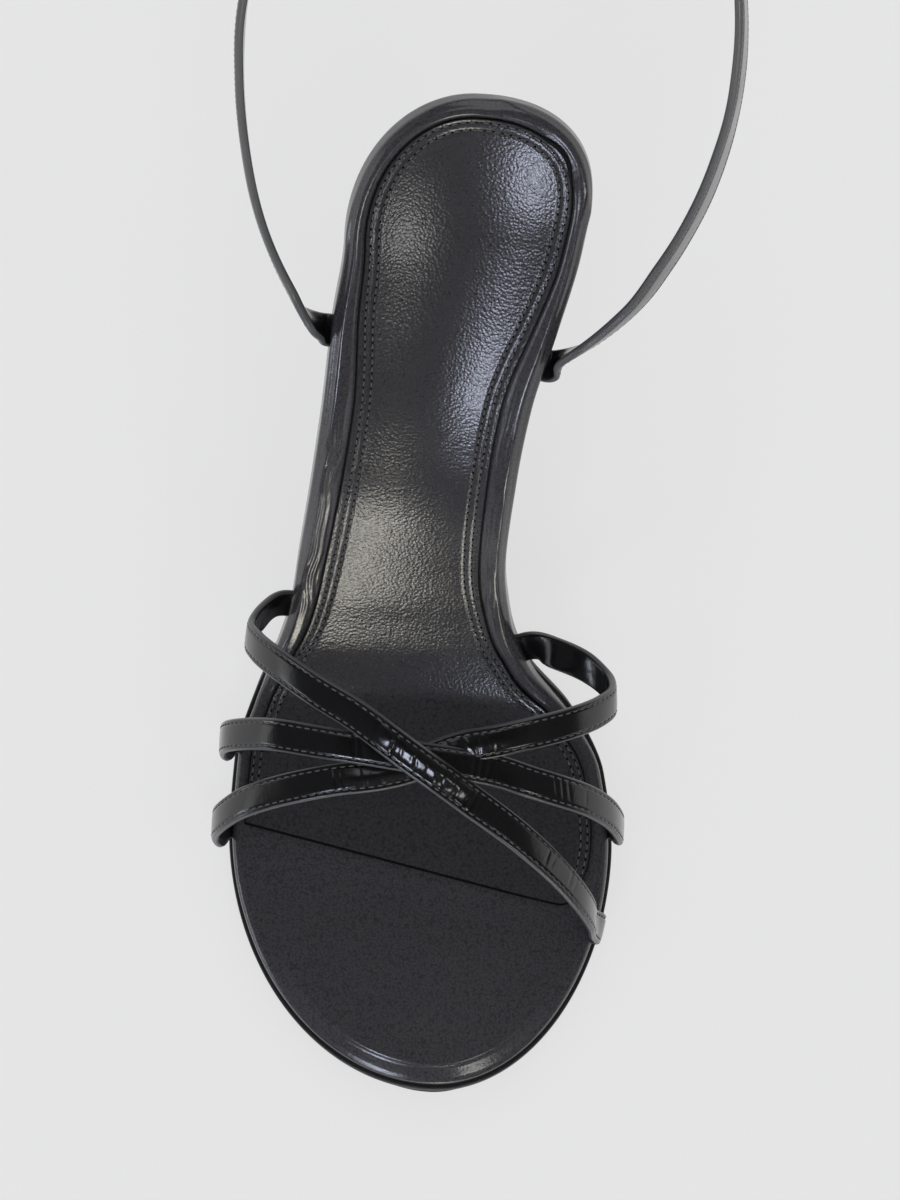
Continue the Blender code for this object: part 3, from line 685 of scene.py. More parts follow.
# along the length, how far the sock lining stays inside on each side, as shares of its margin
sockMargins = [
    (0.18, 0.45, 0.95),
    (0.28, 0.45, 0.60),
    (0.40, 0.50, 0.60),
    (0.55, 0.92, 0.92),
    (0.70, 1.00, 1.00),
    (0.85, 0.60, 0.56),
    (1.00, 0.46, 0.46),
]


def sockMargin(share, medial):
    share = np.clip(share, sockMargins[0][0], sockMargins[-1][0])
    sides = [column(sockMargins, k, share) for k in (1, 2)]
    return sockLook["margin"] * np.where(medial, sides[1], sides[0])


def crestHeight(share, inset, medial):
    # the padded welt between the edge and the sock lining, which dies out at the ball
    margin = sockMargin(share, medial)
    across = inset / margin
    shape = fade(across, 0.0, 0.36) * (1 - 0.38 * fade(across, 0.66, 1.0))
    shape = shape * (1 - fade(inset, margin + 0.1 * mm, margin + 0.6 * mm))
    return footbedLook["crest"] * fade(share, *footbedLook["crestStarts"]) * shape


def weltCreases(share, inset, medial):
    # wavy lengthwise creases of the welt at the waist, weaker on the inner side
    y = placeOf(share)
    strength = fade(share, 0.49, 0.53) * (1 - fade(share, 0.66, 0.74))
    wobble = 0.35 * mm * np.sin(y / (3.1 * mm)) + 0.25 * mm * np.sin(y / (1.7 * mm) + 1.3)
    across = fade(inset, 0.8 * mm, 1.8 * mm) * (1 - fade(inset, 4.4 * mm, 5.4 * mm))
    lines = np.sin((inset + wobble) * 2 * pi / (1.25 * mm))
    return (0.05 if medial else 0.15) * mm * strength * across * lines


def deepCup(x, y):
    # the padding gives along the middle of the foot and swells behind the ball
    look = footbedLook
    share = shareOf(y)
    swell = look["pad"] * fade(share, *look["padStarts"]) * (1 - fade(share, *look["padEnds"]))
    return (look["hollow"] * fade(share, *look["hollowStarts"]) - swell) * hollowShape(x, share)


def edgeDepth(share, inset, top):
    # the rolled edge, which flattens round the toe to a brow, a slope and a bead over the board's end
    look = footbedLook
    roll = top - look["roll"] * (1 - np.sqrt(1 - (1 - np.clip(inset / look["roll"], 0, 1)) ** 2))
    browRise, browWidth = look["brow"]
    slopeRise, slopeStart, slopeEnd = look["slope"]
    bevel = look["toeWall"] + browRise * np.sqrt(1 - (1 - np.clip(inset / browWidth, 0, 1)) ** 2)
    bevel += slopeRise * np.clip((inset - slopeStart) / (slopeEnd - slopeStart), 0, 1)
    bevel += (top - look["toeWall"] - browRise - slopeRise) * fade(inset, *look["bead"])
    toe = 1 - fade(share, *look["bevelEnds"])
    return roll * (1 - toe) + bevel * toe


def makeFootbed():
    look = footbedLook
    line, outward = closedRim()
    low, top = last["clearance"], last["clearance"] + look["thickness"]
    section = [(0.0, up) for up in np.linspace(0, 1, 6)[:-1]]  # inset, and how far up the wall
    for angle in np.linspace(0, 90, 11):
        section.append((look["roll"] * (1 - cos(radians(angle))), 1.0))
    for inset in np.arange(look["roll"] + look["bandStep"], look["band"], look["bandStep"]):
        section.append((inset, 1.0))
    sides = []
    for side in ("lateral", "medial"):
        edgeLine, way = half(line, side), half(outward, side)
        share = shareOf(resample(edgeLine, look["rows"])[:, 1])
        medialSide = side == "medial"
        columns = []
        for inset, up in section:
            moved = resample(edgeLine - way * inset, look["rows"])
            x, y = moved[:, 0], moved[:, 1]
            extra = crestHeight(share, inset, medialSide) + weltCreases(share, inset, medialSide)
            extra = extra - deepCup(x, y)
            depth = low + (edgeDepth(share, inset, top) - low) * up
            columns.append(overLast(x, y, depth + extra * fade(inset, 0.0, 1.0 * mm)))
        sides.append(np.stack(columns, axis=1))
    lateral, medial = sides
    flats = []
    for k, depth, count in ((-1, top, look["middle"]), (0, low, 14)):
        t = np.linspace(0, 1, count + 2)[None, 1:-1, None]
        start, end = lateral[:, k, None, :2], medial[:, k, None, :2]
        plan = start * (1 - t) + end * t
        cup = deepCup(plan[..., 0], plan[..., 1]) if k else 0.0
        flats.append(overLast(plan[..., 0], plan[..., 1], np.full(plan.shape[:2], depth) - cup))
    middle, under = flats
    loop = np.concatenate([lateral, middle, medial[:, ::-1], under[:, ::-1], lateral[:, :1]], axis=1)
    piece = surfaceGrid("footbed", loop, finishes["footbed leather"])
    settle(piece, "footbed_leather", "insole")
    return piece


# Sock lining, with two rows of stitches inside its edge

sockLook = {
    "margin": 0.0060,
    "thickness": 1.15 * mm,
    "top": 0.0009 + 0.0052 + 2 * 0.0003,
    "frontLateral": 0.262,
    "frontMedial": 0.188,
    "corner": 4.5 * mm,
    "rows": 330,
    "band": 6.0 * mm,
    "bandStep": 0.3 * mm,
    "middle": 44,
    "groove": 0.16 * mm,
    "grooveWidth": 0.34 * mm,
}

# along the length, the first stitch row's distance from the sock's edge and the second row's from it
stitchInsets = [
    (0.18, 1.0 * mm, 1.5 * mm),
    (0.40, 0.9 * mm, 1.4 * mm),
    (0.60, 1.8 * mm, 1.7 * mm),
    (0.74, 1.8 * mm, 1.7 * mm),
    (0.88, 1.1 * mm, 1.9 * mm),
    (1.00, 0.8 * mm, 1.6 * mm),
]


def sockRows():
    # each side's edge points, the way inwards and the share of the length, from front to heel
    look = sockLook
    line, outward = closedRim(lambda share, medial: -sockMargin(share, medial))
    fronts = {"lateral": look["frontLateral"], "medial": look["frontMedial"]}
    edges, ways = {}, {}
    for side, front in fronts.items():
        edgeLine, way = half(line, side), half(outward, side)
        start = indexAt(edgeLine, front)
        edges[side] = resample(edgeLine, look["rows"], start)
        ways[side] = -resample(way, look["rows"], start)
    slant = edges["medial"][0] - edges["lateral"][0]
    slant /= np.linalg.norm(slant)
    for side, turn in (("lateral", 1), ("medial", -1)):
        blend = fade(np.arange(look["rows"]), 0, 40)[:, None]
        ways[side] = ways[side] * blend + turn * slant * (1 - blend)
        ways[side] /= np.linalg.norm(ways[side], axis=1)[:, None]
    return edges, ways


def sockDip(share, inset):
    first = column(stitchInsets, 1, share)
    second = first + column(stitchInsets, 2, share)
    width = sockLook["grooveWidth"]
    return sockLook["groove"] * (bump(inset, first, width) + bump(inset, second, width))


def roundCorner(points, edges):
    # the sock's front corner on the medial side is cut round
    radius = sockLook["corner"]
    corner = edges["medial"][0]
    inward = np.clip((corner[0] - points[..., 0]) / radius, 0, 1)
    front = edges["lateral"][0] + (points[..., :1] - edges["lateral"][0][0]) * np.array(
        [0, (corner[1] - edges["lateral"][0][1]) / (corner[0] - edges["lateral"][0][0])]
    )
    behind = points[..., 1] - front[..., 1]
    shift = radius * (1 - np.sqrt(1 - (1 - inward) ** 2)) * np.clip(1 - behind / (2.2 * radius), 0, 1)
    moved = points.copy()
    moved[..., 1] += shift
    return moved


def paintRimShadow(mesh, slot):
    # the faces along a sheet's open edge take another finish, a near-black line of painted shadow
    used = {}
    for face in mesh.polygons:
        for key in face.edge_keys:
            used[key] = used.get(key, 0) + 1
    for face in mesh.polygons:
        if any(used[key] == 1 for key in face.edge_keys):
            face.material_index = slot


def makeSock():
    look = sockLook
    edges, ways = sockRows()
    insets = np.arange(0, look["band"], look["bandStep"])
    bands, depths = {}, {}
    for side in ("lateral", "medial"):
        bands[side] = edges[side][:, None, :] + ways[side][:, None, :] * insets[None, :, None]
        share = shareOf(edges[side][:, 1])[:, None]
        faded = fade(np.arange(look["rows"]), 2, 8)[:, None]
        depths[side] = look["top"] - sockDip(share, insets[None]) * faded
    t = np.linspace(0, 1, look["middle"] + 2)[None, 1:-1, None]
    middle = bands["lateral"][:, -1:, :] * (1 - t) + bands["medial"][:, -1:, :] * t
    level = np.full(middle.shape[:2], look["top"])
    plan = np.concatenate([bands["lateral"], middle, bands["medial"][:, ::-1]], axis=1)
    depth = np.concatenate([depths["lateral"], level, depths["medial"][:, ::-1]], axis=1)
    plan = roundCorner(plan, edges)
    points = overLast(plan[..., 0], plan[..., 1], depth - deepCup(plan[..., 0], plan[..., 1]))
    piece = surfaceGrid("sockLining", points, finishes["sock leather"])
    if piece.data.polygons[len(piece.data.polygons) // 2].normal.z < 0:
        piece.data.flip_normals()
    # painted shadow: the faces along the sock's open edge turn near-black
    piece.data.materials.append(finishes["cut edge"])
    paintRimShadow(piece.data, 1)
    applyModifier(piece, "SOLIDIFY", thickness=look["thickness"], offset=-1.0)
    applyModifier(piece, "BEVEL", width=0.45 * mm, segments=4, limit_method="ANGLE", angle_limit=radians(50))
    takeOnly(piece)
    bpy.ops.object.shade_smooth()
    settle(piece, "sock_leather", "sock_lining")
    return piece


# Straps

strapLook = {
    "width": 0.0070,
    "thickness": 0.0018,
    "crest": 0.0485,
    "tuck": 0.0070,
    "tuckPlaces": (1.0, 0.6, 0.2),
    "uprightBend": ((0.5, 1.3, 0.5), (0.65, 2.8, 1.0)),
    "lowBend": ((1.0, 1.3, 0.3),),
    "edgeRound": 0.85 * mm,
    "dome": 0.08 * mm,
    "stitchInset": 1.05 * mm,
    "groove": 0.20 * mm,
    "grooveWidth": 0.28 * mm,
    "step": 0.30 * mm,
    "ankleStep": 0.42 * mm,
    "easesPath": 3.8 * mm,
    "easesFace": 8.8 * mm,
    "faceColumns": 34,
    "notch": 0.10 * mm,
    "pointLength": 0.55,
    "gap": 0.12 * mm,
    "liftEases": (6 * mm, 17 * mm),
    "middleOfFoot": (-0.06, 0.38),
}

# each strap over the foot: its two ends, then points as shares of ball width, plan length and crest;
# a fourth share tips the face down
vampStraps = {
    "long": {
        "start": ("lateral", 0.498), "end": ("medial", 0.169),
        "steps": [
            (-0.502, 0.140, 0.43), (-0.525, 0.124, 0.55), (-0.505, 0.112, 0.70), (-0.448, 0.096, 0.86),
            (-0.343, 0.071, 0.99), (-0.224, 0.045, 1.03), (-0.095, 0.010, 1.01), (0.045, -0.027, 0.96),
            (0.200, -0.069, 0.86), (0.300, -0.102, 0.74), (0.370, -0.132, 0.60), (0.400, -0.150, 0.43),
            (0.407, -0.160, 0.26),
        ],
    },
    "middle": {
        "start": ("lateral", 0.351), "end": ("medial", 0.280),
        "steps": [
            (-0.574, 0.006, 0.20), (-0.584, 0.012, 0.38), (-0.566, 0.018, 0.58), (-0.509, 0.022, 0.74),
            (-0.439, 0.023, 0.86), (-0.337, 0.019, 0.94), (-0.239, 0.015, 0.985), (-0.118, 0.010, 0.995),
            (-0.028, 0.006, 0.98), (0.062, 0.002, 0.95), (0.140, -0.003, 0.935), (0.218, -0.012, 0.91),
            (0.286, -0.019, 0.86), (0.363, -0.028, 0.76), (0.425, -0.041, 0.60), (0.460, -0.056, 0.40),
            (0.464, -0.062, 0.22),
        ],
    },
    "front": {
        "start": ("lateral", 0.262), "end": ("medial", 0.463),
        "steps": [
            (-0.582, -0.084, 0.20), (-0.594, -0.076, 0.36), (-0.578, -0.066, 0.54), (-0.520, -0.049, 0.70),
            (-0.433, -0.035, 0.815), (-0.345, -0.025, 0.895), (-0.269, -0.018, 0.935),
            (-0.179, -0.012, 0.960),
            (-0.091, -0.002, 0.975), (-0.028, 0.009, 0.970), (0.034, 0.019, 0.965), (0.108, 0.026, 0.975),
            (0.211, 0.037, 0.965), (0.306, 0.048, 0.90), (0.391, 0.062, 0.755), (0.425, 0.074, 0.60),
            (0.409, 0.089, 0.46, 0.15), (0.356, 0.105, 0.39, 0.45), (0.272, 0.118, 0.33, 1.00),
        ],
    },
}


def smoothRoute(points, steps):
    # points and directions on a smooth curve through the given points
    points = np.asarray(points, float)
    gaps = np.linalg.norm(np.diff(points, axis=0), axis=1)
    slopes = np.diff(points, axis=0) / gaps[:, None]
    tangents = np.empty_like(points)
    tangents[0], tangents[-1] = slopes[0], slopes[-1]
    share = (gaps[:-1] / (gaps[:-1] + gaps[1:]))[:, None]
    tangents[1:-1] = slopes[:-1] * (1 - share) + slopes[1:] * share
    places, directions = [], []
    for i, gap in enumerate(gaps):
        final = i == len(gaps) - 1
        for t in np.linspace(0, 1, steps + 1)[: None if final else -1]:
            places.append(
                points[i] * (1 + 2 * t) * (1 - t) ** 2
                + points[i + 1] * t * t * (3 - 2 * t)
                + gap * (tangents[i] * t * (1 - t) ** 2 - tangents[i + 1] * t * t * (1 - t))
            )
            directions.append(
                (points[i + 1] - points[i]) * 6 * t * (1 - t) / gap
                + tangents[i] * (1 - 4 * t + 3 * t * t)
                + tangents[i + 1] * (3 * t * t - 2 * t)
            )
    directions = np.array(directions)
    return np.array(places), directions / np.linalg.norm(directions, axis=1)[:, None]


def squared(directions, outward):
    outward = outward - directions * np.sum(outward * directions, axis=1)[:, None]
    outward /= np.linalg.norm(outward, axis=1)[:, None]
    return outward, np.cross(directions, outward)


def strapTuck(side, share, bend):
    # the hidden end between insole and outsole, and the bend up at the edge where there is one
    line = half(closedRim()[0], side)
    x, y = edgePoint(line, share)
    ahead = edgePoint(line, share + strapLook["width"] / last["planLength"] / 4) - (x, y)
    outward = np.array([ahead[1], -ahead[0]]) * (1 if side == "medial" else -1)
    outward /= np.linalg.norm(outward)
    middle = last["clearance"] + strapLook["thickness"] / 2

    def point(out, depth):
        return overLast(x + outward[0] * out, y + outward[1] * out, depth)

    def unit(vector):
        return vector / np.linalg.norm(vector)

    down = unit(point(0, 0) - point(0, middle))
    away = unit(point(0, 0) - point(-middle, 0))
    stops = [(point(-strapLook["tuck"] * place, middle), down) for place in strapLook["tuckPlaces"]]
    for out, depth, turn in bend:
        stops.append((point(middle * out, middle * depth), down * (1 - turn) + away * turn))
    return stops


def eased(rows, width, step):
    # each row becomes the mean of its neighbours over this width, so that a kink is spread out
    count = 2 * int(width / step / 2) + 1
    weights = np.hanning(count + 2)[1:-1]
    weights /= weights.sum()
    half = count // 2
    before = 2 * rows[:1] - rows[half:0:-1]
    after = 2 * rows[-1:] - rows[-2 : -half - 2 : -1]
    longer = np.concatenate([before, rows, after])
    return np.column_stack([np.convolve(longer[:, k], weights, mode="valid") for k in range(rows.shape[1])])


def evenCourse(stops, step):
    # the strap's course at even steps: points, the way its face looks, the way of its width
    fineSteps = 12
    places, directions = smoothRoute([stop[0] for stop in stops], fineSteps)
    faces = np.array([stop[1] / np.linalg.norm(stop[1]) for stop in stops])
    spots = np.arange(len(places)) / fineSteps
    outward = np.column_stack([np.interp(spots, np.arange(len(stops)), faces[:, k]) for k in range(3)])
    lengths = np.concatenate([[0], np.cumsum(np.linalg.norm(np.diff(places, axis=0), axis=1))])
    wanted = np.linspace(0, lengths[-1], int(lengths[-1] / step) + 1)
    even = [np.column_stack([np.interp(wanted, lengths, line[:, k]) for k in range(3)])
            for line in (places, directions, outward)]
    even[0] = eased(even[0], strapLook["easesPath"], step)
    even[1] = np.gradient(even[0], axis=0)
    even[1] /= np.linalg.norm(even[1], axis=1)[:, None]
    even[2] = eased(even[2], strapLook["easesFace"], step)
    return [even[0], *squared(even[1], even[2]), wanted]


def vampCourse(strap):
    stops = []
    acrossMiddle, upMiddle = strapLook["middleOfFoot"]
    for across, along, up, *tip in strap["steps"]:
        point = np.array([across * last["ballWidth"], along * last["planLength"], up * strapLook["crest"]])
        middle = np.array([acrossMiddle * last["ballWidth"], point[1], upMiddle * strapLook["crest"]])
        face = point - middle - (0, 0, sum(tip) * strapLook["crest"])
        stops.append((point + (0, 0, outsoleLook["thickness"]), face))
    ends = []
    for side, share in (strap["start"], strap["end"]):
        bend = strapLook["uprightBend" if share < last["cupStarts"] else "lowBend"]
        ends.append(strapTuck(side, share, bend))
    return evenCourse([*ends[0], *stops, *reversed(ends[1])], strapLook["step"])


def strapSection():
    # the outline across a strap: across, out, and 1 on the outer face; folded edges, lining below
    look = strapLook
    a, b, e = look["width"] / 2, look["thickness"] / 2, look["edgeRound"]
    face = np.linspace(-(a - e), a - e, look["faceColumns"])
    fold = []
    for angle in np.linspace(90, -90, 13)[1:-1]:
        turn = radians(angle)
        notch = look["notch"] * bump(angle, -28, 11)
        fold.append((a - e + e * cos(turn) - notch, b * sin(turn), fade(angle, 0, 90)))
    section = [(x, b, 1.0) for x in face] + fold
    section += [(x, -b, 0.0) for x in np.linspace(a - e, -(a - e), 13)]
    section += [(-x, out, share) for x, out, share in reversed(fold)]
    section.append(section[0])
    return np.array(section)


def strapRelief(x, spread):
    # the padded face between its two grooves
    look = strapLook
    a, e = look["width"] / 2, look["edgeRound"]
    dome = look["dome"] * np.clip(1 - (x / (a - e)) ** 2, 0, 1)
    row = a - look["stitchInset"]
    grooves = look["groove"] * (bump(x, row, look["grooveWidth"]) + bump(x, -row, look["grooveWidth"]))
    return (dome - grooves) * spread


def creaseRelief(creases, s, x):
    # soft troughs and ridges: place along and across, length, turn, width and height, in millimetres
    total = np.zeros(np.broadcast(s, x).shape)
    for at, across, length, turn, width, height in creases:
        ds, dx = s / mm - at, x / mm - across
        along = ds * cos(radians(turn)) + dx * sin(radians(turn))
        aside = -ds * sin(radians(turn)) + dx * cos(radians(turn))
        total += height * np.exp(-((along / (length / 2)) ** 4)) * np.exp(-((aside / width) ** 2))
    return total * mm


def strapMesh(name, course, lift=0.0, creases=(), pointed=False):
    places, outward, side, s = course
    section = strapSection()
    x, out, faceShare = section[:, 0], section[:, 1], section[:, 2]
    creased = creaseRelief(creases, s[:, None], x[None, :]) * faceShare[None, :]
    relief = strapRelief(x, faceShare)[None, :] + creased
    height = out[None, :] + relief + np.reshape(lift, (-1, 1))
    narrow = np.ones(len(s))
    if pointed:
        fromEnd = np.clip((s - s[0]) / (strapLook["width"] * strapLook["pointLength"]), 0, 1)
        narrow = np.sqrt(np.clip(1 - (1 - fromEnd) ** 2, 0.0, 1)) * 0.97 + 0.03
    across = side[:, None, :] * (x[None, :] * narrow[:, None])[..., None]
    points = places[:, None, :] + across + outward[:, None, :] * height[..., None]
    uv = np.stack(np.broadcast_arrays(x[None, :], s[:, None]), axis=-1)
    points = np.concatenate([capRow(points[0]), points, capRow(points[-1])])
    uv = np.concatenate([uv[:1], uv, uv[-1:]])
    return surfaceGrid(name, points, finishes["strap leather"], uv)


def crossing(upper, lower):
    # where two courses cross when seen from above, and how far apart they are there
    apart = np.linalg.norm(upper[0][:, None, :2] - lower[0][None, :, :2], axis=-1)
    high = np.minimum(upper[0][:, None, 2], lower[0][None, :, 2]) > 0.6 * strapLook["crest"]
    i, j = np.unravel_index(np.argmin(np.where(high, apart, 1.0)), apart.shape)
    return i, j, upper[0][i, 2] - lower[0][j, 2]


def stackStraps(courses):
    # the long strap lies on the middle one, and that on the front one
    lifts = {name: np.zeros(len(course[3])) for name, course in courses.items()}
    for top, low, share in (("long", "middle", 0.75), ("middle", "front", 0.4), ("long", "front", 0.5)):
        i, j, gap = crossing(courses[top], courses[low])
        gap += lifts[top][i] - lifts[low][j]
        need = strapLook["thickness"] + strapLook["gap"] - gap
        if need <= 0:
            continue
        for name, k, amount in ((top, i, need * share), (low, j, -need * (1 - share))):
            s = courses[name][3]
            lifts[name] += amount * (1 - fade(np.abs(s - s[k]), *strapLook["liftEases"]))
    return lifts


# place along and across, length, turn, width and height; a turn of 90 lies across the strap
strapCreases = {
    "long": [
        (84.0, -1.0, 22.0, 0, 1.7, 1.10), (72.5, -0.5, 3.6, 0, 1.6, 0.32),
        (70.0, -2.0, 3.5, 78, 0.36, -0.17), (74.8, -0.2, 5.4, 72, 0.36, -0.30),
        (77.2, 0.6, 4.4, 60, 0.34, -0.11), (79.4, -0.6, 4.0, 66, 0.40, 0.10),
        (81.3, 0.9, 4.2, 56, 0.34, -0.13), (83.6, -0.2, 4.8, 68, 0.34, -0.10),
        (85.8, 1.0, 3.8, 60, 0.40, 0.10), (87.6, 0.2, 4.6, 64, 0.34, -0.13),
        (90.0, -0.8, 4.0, 74, 0.36, -0.10), (92.0, 0.8, 4.2, 70, 0.38, 0.08),
        (94.5, 0.5, 4.6, 95, 0.34, -0.15), (96.0, 0.2, 4.8, 85, 0.34, -0.17),
        (97.4, -0.5, 3.8, 80, 0.32, -0.13), (117.5, -0.8, 4.6, 84, 0.34, -0.14),
        (119.5, -0.5, 3.6, 96, 0.32, -0.10), (126.0, -0.9, 4.4, 88, 0.34, -0.14),
        (128.0, -0.3, 3.4, 96, 0.32, -0.09),
    ],
    "middle": [
        (71.0, -0.2, 4.8, 80, 0.34, -0.15), (72.7, 0.3, 3.8, 74, 0.32, -0.11),
        (74.7, 0.8, 3.2, 0, 1.3, 0.17), (96.8, 0.2, 4.4, 85, 0.32, -0.13),
        (98.4, 0.4, 4.2, 91, 0.32, -0.14), (100.1, 0.2, 3.6, 96, 0.32, -0.10),
        (115.3, -0.3, 4.4, 70, 0.32, -0.13), (117.0, -0.3, 4.4, 72, 0.32, -0.13),
        (118.7, -0.4, 4.0, 70, 0.32, -0.11), (123.6, -0.2, 4.0, 80, 0.32, -0.10),
    ],
    "front": [
        (78.0, 0.2, 26.0, 0, 1.7, 0.70), (67.6, -0.1, 5.2, 88, 0.34, -0.17),
        (69.2, 0.3, 4.2, 80, 0.32, -0.10), (73.0, -0.2, 5.2, 85, 0.34, -0.17),
        (74.8, 0.5, 3.8, 96, 0.32, -0.10), (77.0, 1.2, 3.2, 70, 0.34, 0.08),
        (96.0, -0.2, 17.0, 0, 1.8, 0.65), (89.0, -0.5, 4.2, 60, 0.38, -0.18),
        (91.0, 0.8, 4.2, 110, 0.40, 0.15), (93.0, -0.8, 4.6, 75, 0.34, -0.18),
        (95.0, 0.5, 4.2, 100, 0.38, -0.15), (97.0, -0.4, 5.0, 65, 0.40, 0.15),
        (99.0, 0.6, 4.2, 95, 0.34, -0.18), (101.0, -0.6, 4.2, 80, 0.34, -0.14),
        (103.0, 0.4, 3.8, 100, 0.32, -0.11), (104.6, -1.7, 3.0, 60, 0.30, -0.08),
        (106.2, -1.5, 2.8, 60, 0.30, -0.07),
    ],
}


def makeVamp():
    courses = {name: vampCourse(strap) for name, strap in vampStraps.items()}
    lifts = stackStraps(courses)
    for name, course in courses.items():
        piece = strapMesh(name + "Strap", course, lifts[name], strapCreases[name])
        settle(piece, "strap_leather", "upper")
        rows = [stitchRow(course, lifts[name], edge, strapCreases[name]) for edge in (-1, 1)]
        stitches = sewRows(rows, name + "StrapStitches", stitchModel(False))
        settle(stitches, "strap_leather")
    print("straps laid")


# Stitches

stitchLook = {
    "pitch": 1.85 * mm,
    "length": 1.35 * mm,
    "radius": 0.20 * mm,
    "hole": 0.24 * mm,
    "holeSunk": 0.02 * mm,
    "strapProud": 0.05 * mm,
    "sockProud": 0.07 * mm,
    "strapUnsewn": strapLook["tuck"] + 3.2 * mm,
    "sockUnsewn": (3.0 * mm, 0.3 * mm),
}


def stitchModel(pierced):
    # one stitch, with the needle's hole after it where the leather is pierced wide; the hole is a flat
    # near-black disc of painted shade
    deselectAll()
    bpy.ops.mesh.primitive_uv_sphere_add(segments=6, ring_count=5, radius=1.0)
    stitch = bpy.context.object
    bpy.ops.object.mode_set(mode="EDIT")
    bpy.ops.mesh.select_all(action="SELECT")
    bpy.ops.transform.resize(value=(stitchLook["radius"], stitchLook["radius"], stitchLook["length"] / 2))
    bpy.ops.object.mode_set(mode="OBJECT")
    bpy.ops.object.shade_smooth()
    stitch.data.materials.append(finishes["thread"])
    if not pierced:
        return stitch
    deselectAll()
    at = (0, -stitchLook["holeSunk"], stitchLook["pitch"] / 2)
    bpy.ops.mesh.primitive_uv_sphere_add(segments=8, ring_count=4, radius=stitchLook["hole"], location=at)
    hole = bpy.context.object
    bpy.ops.object.mode_set(mode="EDIT")
    bpy.ops.mesh.select_all(action="SELECT")
    bpy.ops.transform.resize(value=(1.0, 0.25, 1.15))
    bpy.ops.object.mode_set(mode="OBJECT")
    hole.data.materials.append(finishes["pinhole shade"])
    return joinPieces([stitch, hole], "stitch")


def stitchRow(course, lift, edge, creases=()):
    # centres, directions and face ways of the stitches along one edge of a strap
    places, outward, side, s = course
    look = strapLook
    row = edge * (look["width"] / 2 - look["stitchInset"])
    level = look["thickness"] / 2 + strapRelief(np.array([row]), 1.0)[0] + stitchLook["strapProud"]
    level = level + lift + creaseRelief(creases, s, np.full(len(s), row))
    line = places + side * row + outward * np.reshape(level, (-1, 1))
    hidden = stitchLook["strapUnsewn"]
    at = np.arange(hidden, s[-1] - hidden, stitchLook["pitch"])
    return stitchesAlong(line, outward, s, at)


def stitchesAlong(line, outward, s, at):
    def read(values, where):
        return np.column_stack([np.interp(where, s, values[:, k]) for k in range(3)])

    reachOut = stitchLook["length"] / 2
    ahead = read(line, at + reachOut) - read(line, at - reachOut)
    return read(line, at), ahead, read(outward, at)


def sewRows(rows, name, model):
    copies = []
    for centres, aheads, ways in rows:
        for centre, ahead, way in zip(centres, aheads, ways):
            z = Vector(ahead).normalized()
            x = Vector(way).cross(z).normalized()
            turned = Matrix((x, z.cross(x), z)).transposed().to_4x4()
            copy = model.copy()
            copy.data = model.data.copy()
            copy.matrix_world = Matrix.Translation(Vector(centre)) @ turned
            bpy.context.scene.collection.objects.link(copy)
            copies.append(copy)
    bpy.data.objects.remove(model, do_unlink=True)
    return joinPieces(copies, name)


def sewSock():
    edges, ways = sockRows()
    rows = []
    for side in ("lateral", "medial"):
        share = shareOf(edges[side][:, 1])
        first = column(stitchInsets, 1, share)
        for extra in (0.0, 1.0):
            inset = first + extra * column(stitchInsets, 2, share)
            plan = edges[side] + ways[side] * inset[:, None]
            depth = sockLook["top"] - sockLook["groove"] + stitchLook["sockProud"]
            depth = depth - deepCup(plan[:, 0], plan[:, 1])
            line = overLast(plan[:, 0], plan[:, 1], depth)
            above = overLast(plan[:, 0], plan[:, 1], depth + mm) - line
            s = np.concatenate([[0], np.cumsum(np.linalg.norm(np.diff(line, axis=0), axis=1))])
            start, end = stitchLook["sockUnsewn"]
            at = np.arange(start, s[-1] - end, stitchLook["pitch"])
            rows.append(stitchesAlong(line, above, s, at))
    piece = sewRows(rows, "sockStitches", stitchModel(True))
    settle(piece, "sock_leather")
    print("sock lining sewn")


# Ankle strap, its tail, keeper and buckle

ankleLook = {
    "width": 0.0960,
    "reach": 0.1050,
    "rise": 0.1245,
    "lateral": 0.770,
    "medial": 0.745,
    "buckleAt": 0.392,
    "tailStart": 0.400,
    "keeperAt": 0.362,
    "tailEnd": 0.335,
    "holes": 3,
    "holePitch": 0.0135,
    "holeRadius": 0.75 * mm,
    # out of the edge, towards the heel and over the board, then the way the face looks
    "roots": {
        "lateral": [
            (0.9 * mm, 0.0 * mm, 1.2 * mm, -0.40, -0.20, -0.85),
            (2.5 * mm, 1.4 * mm, 3.0 * mm, -0.75, -0.45, -0.45),
            (4.4 * mm, 3.8 * mm, 6.4 * mm, -0.88, -0.48, 0.00),
        ],
        "medial": [
            (1.3 * mm, 0.0 * mm, 1.2 * mm, 0.10, -0.20, -1.00),
            (3.4 * mm, 2.2 * mm, 2.6 * mm, 0.45, -0.80, -0.40),
            (6.6 * mm, 5.2 * mm, 5.4 * mm, 0.55, -0.85, 0.00),
        ],
    },
}

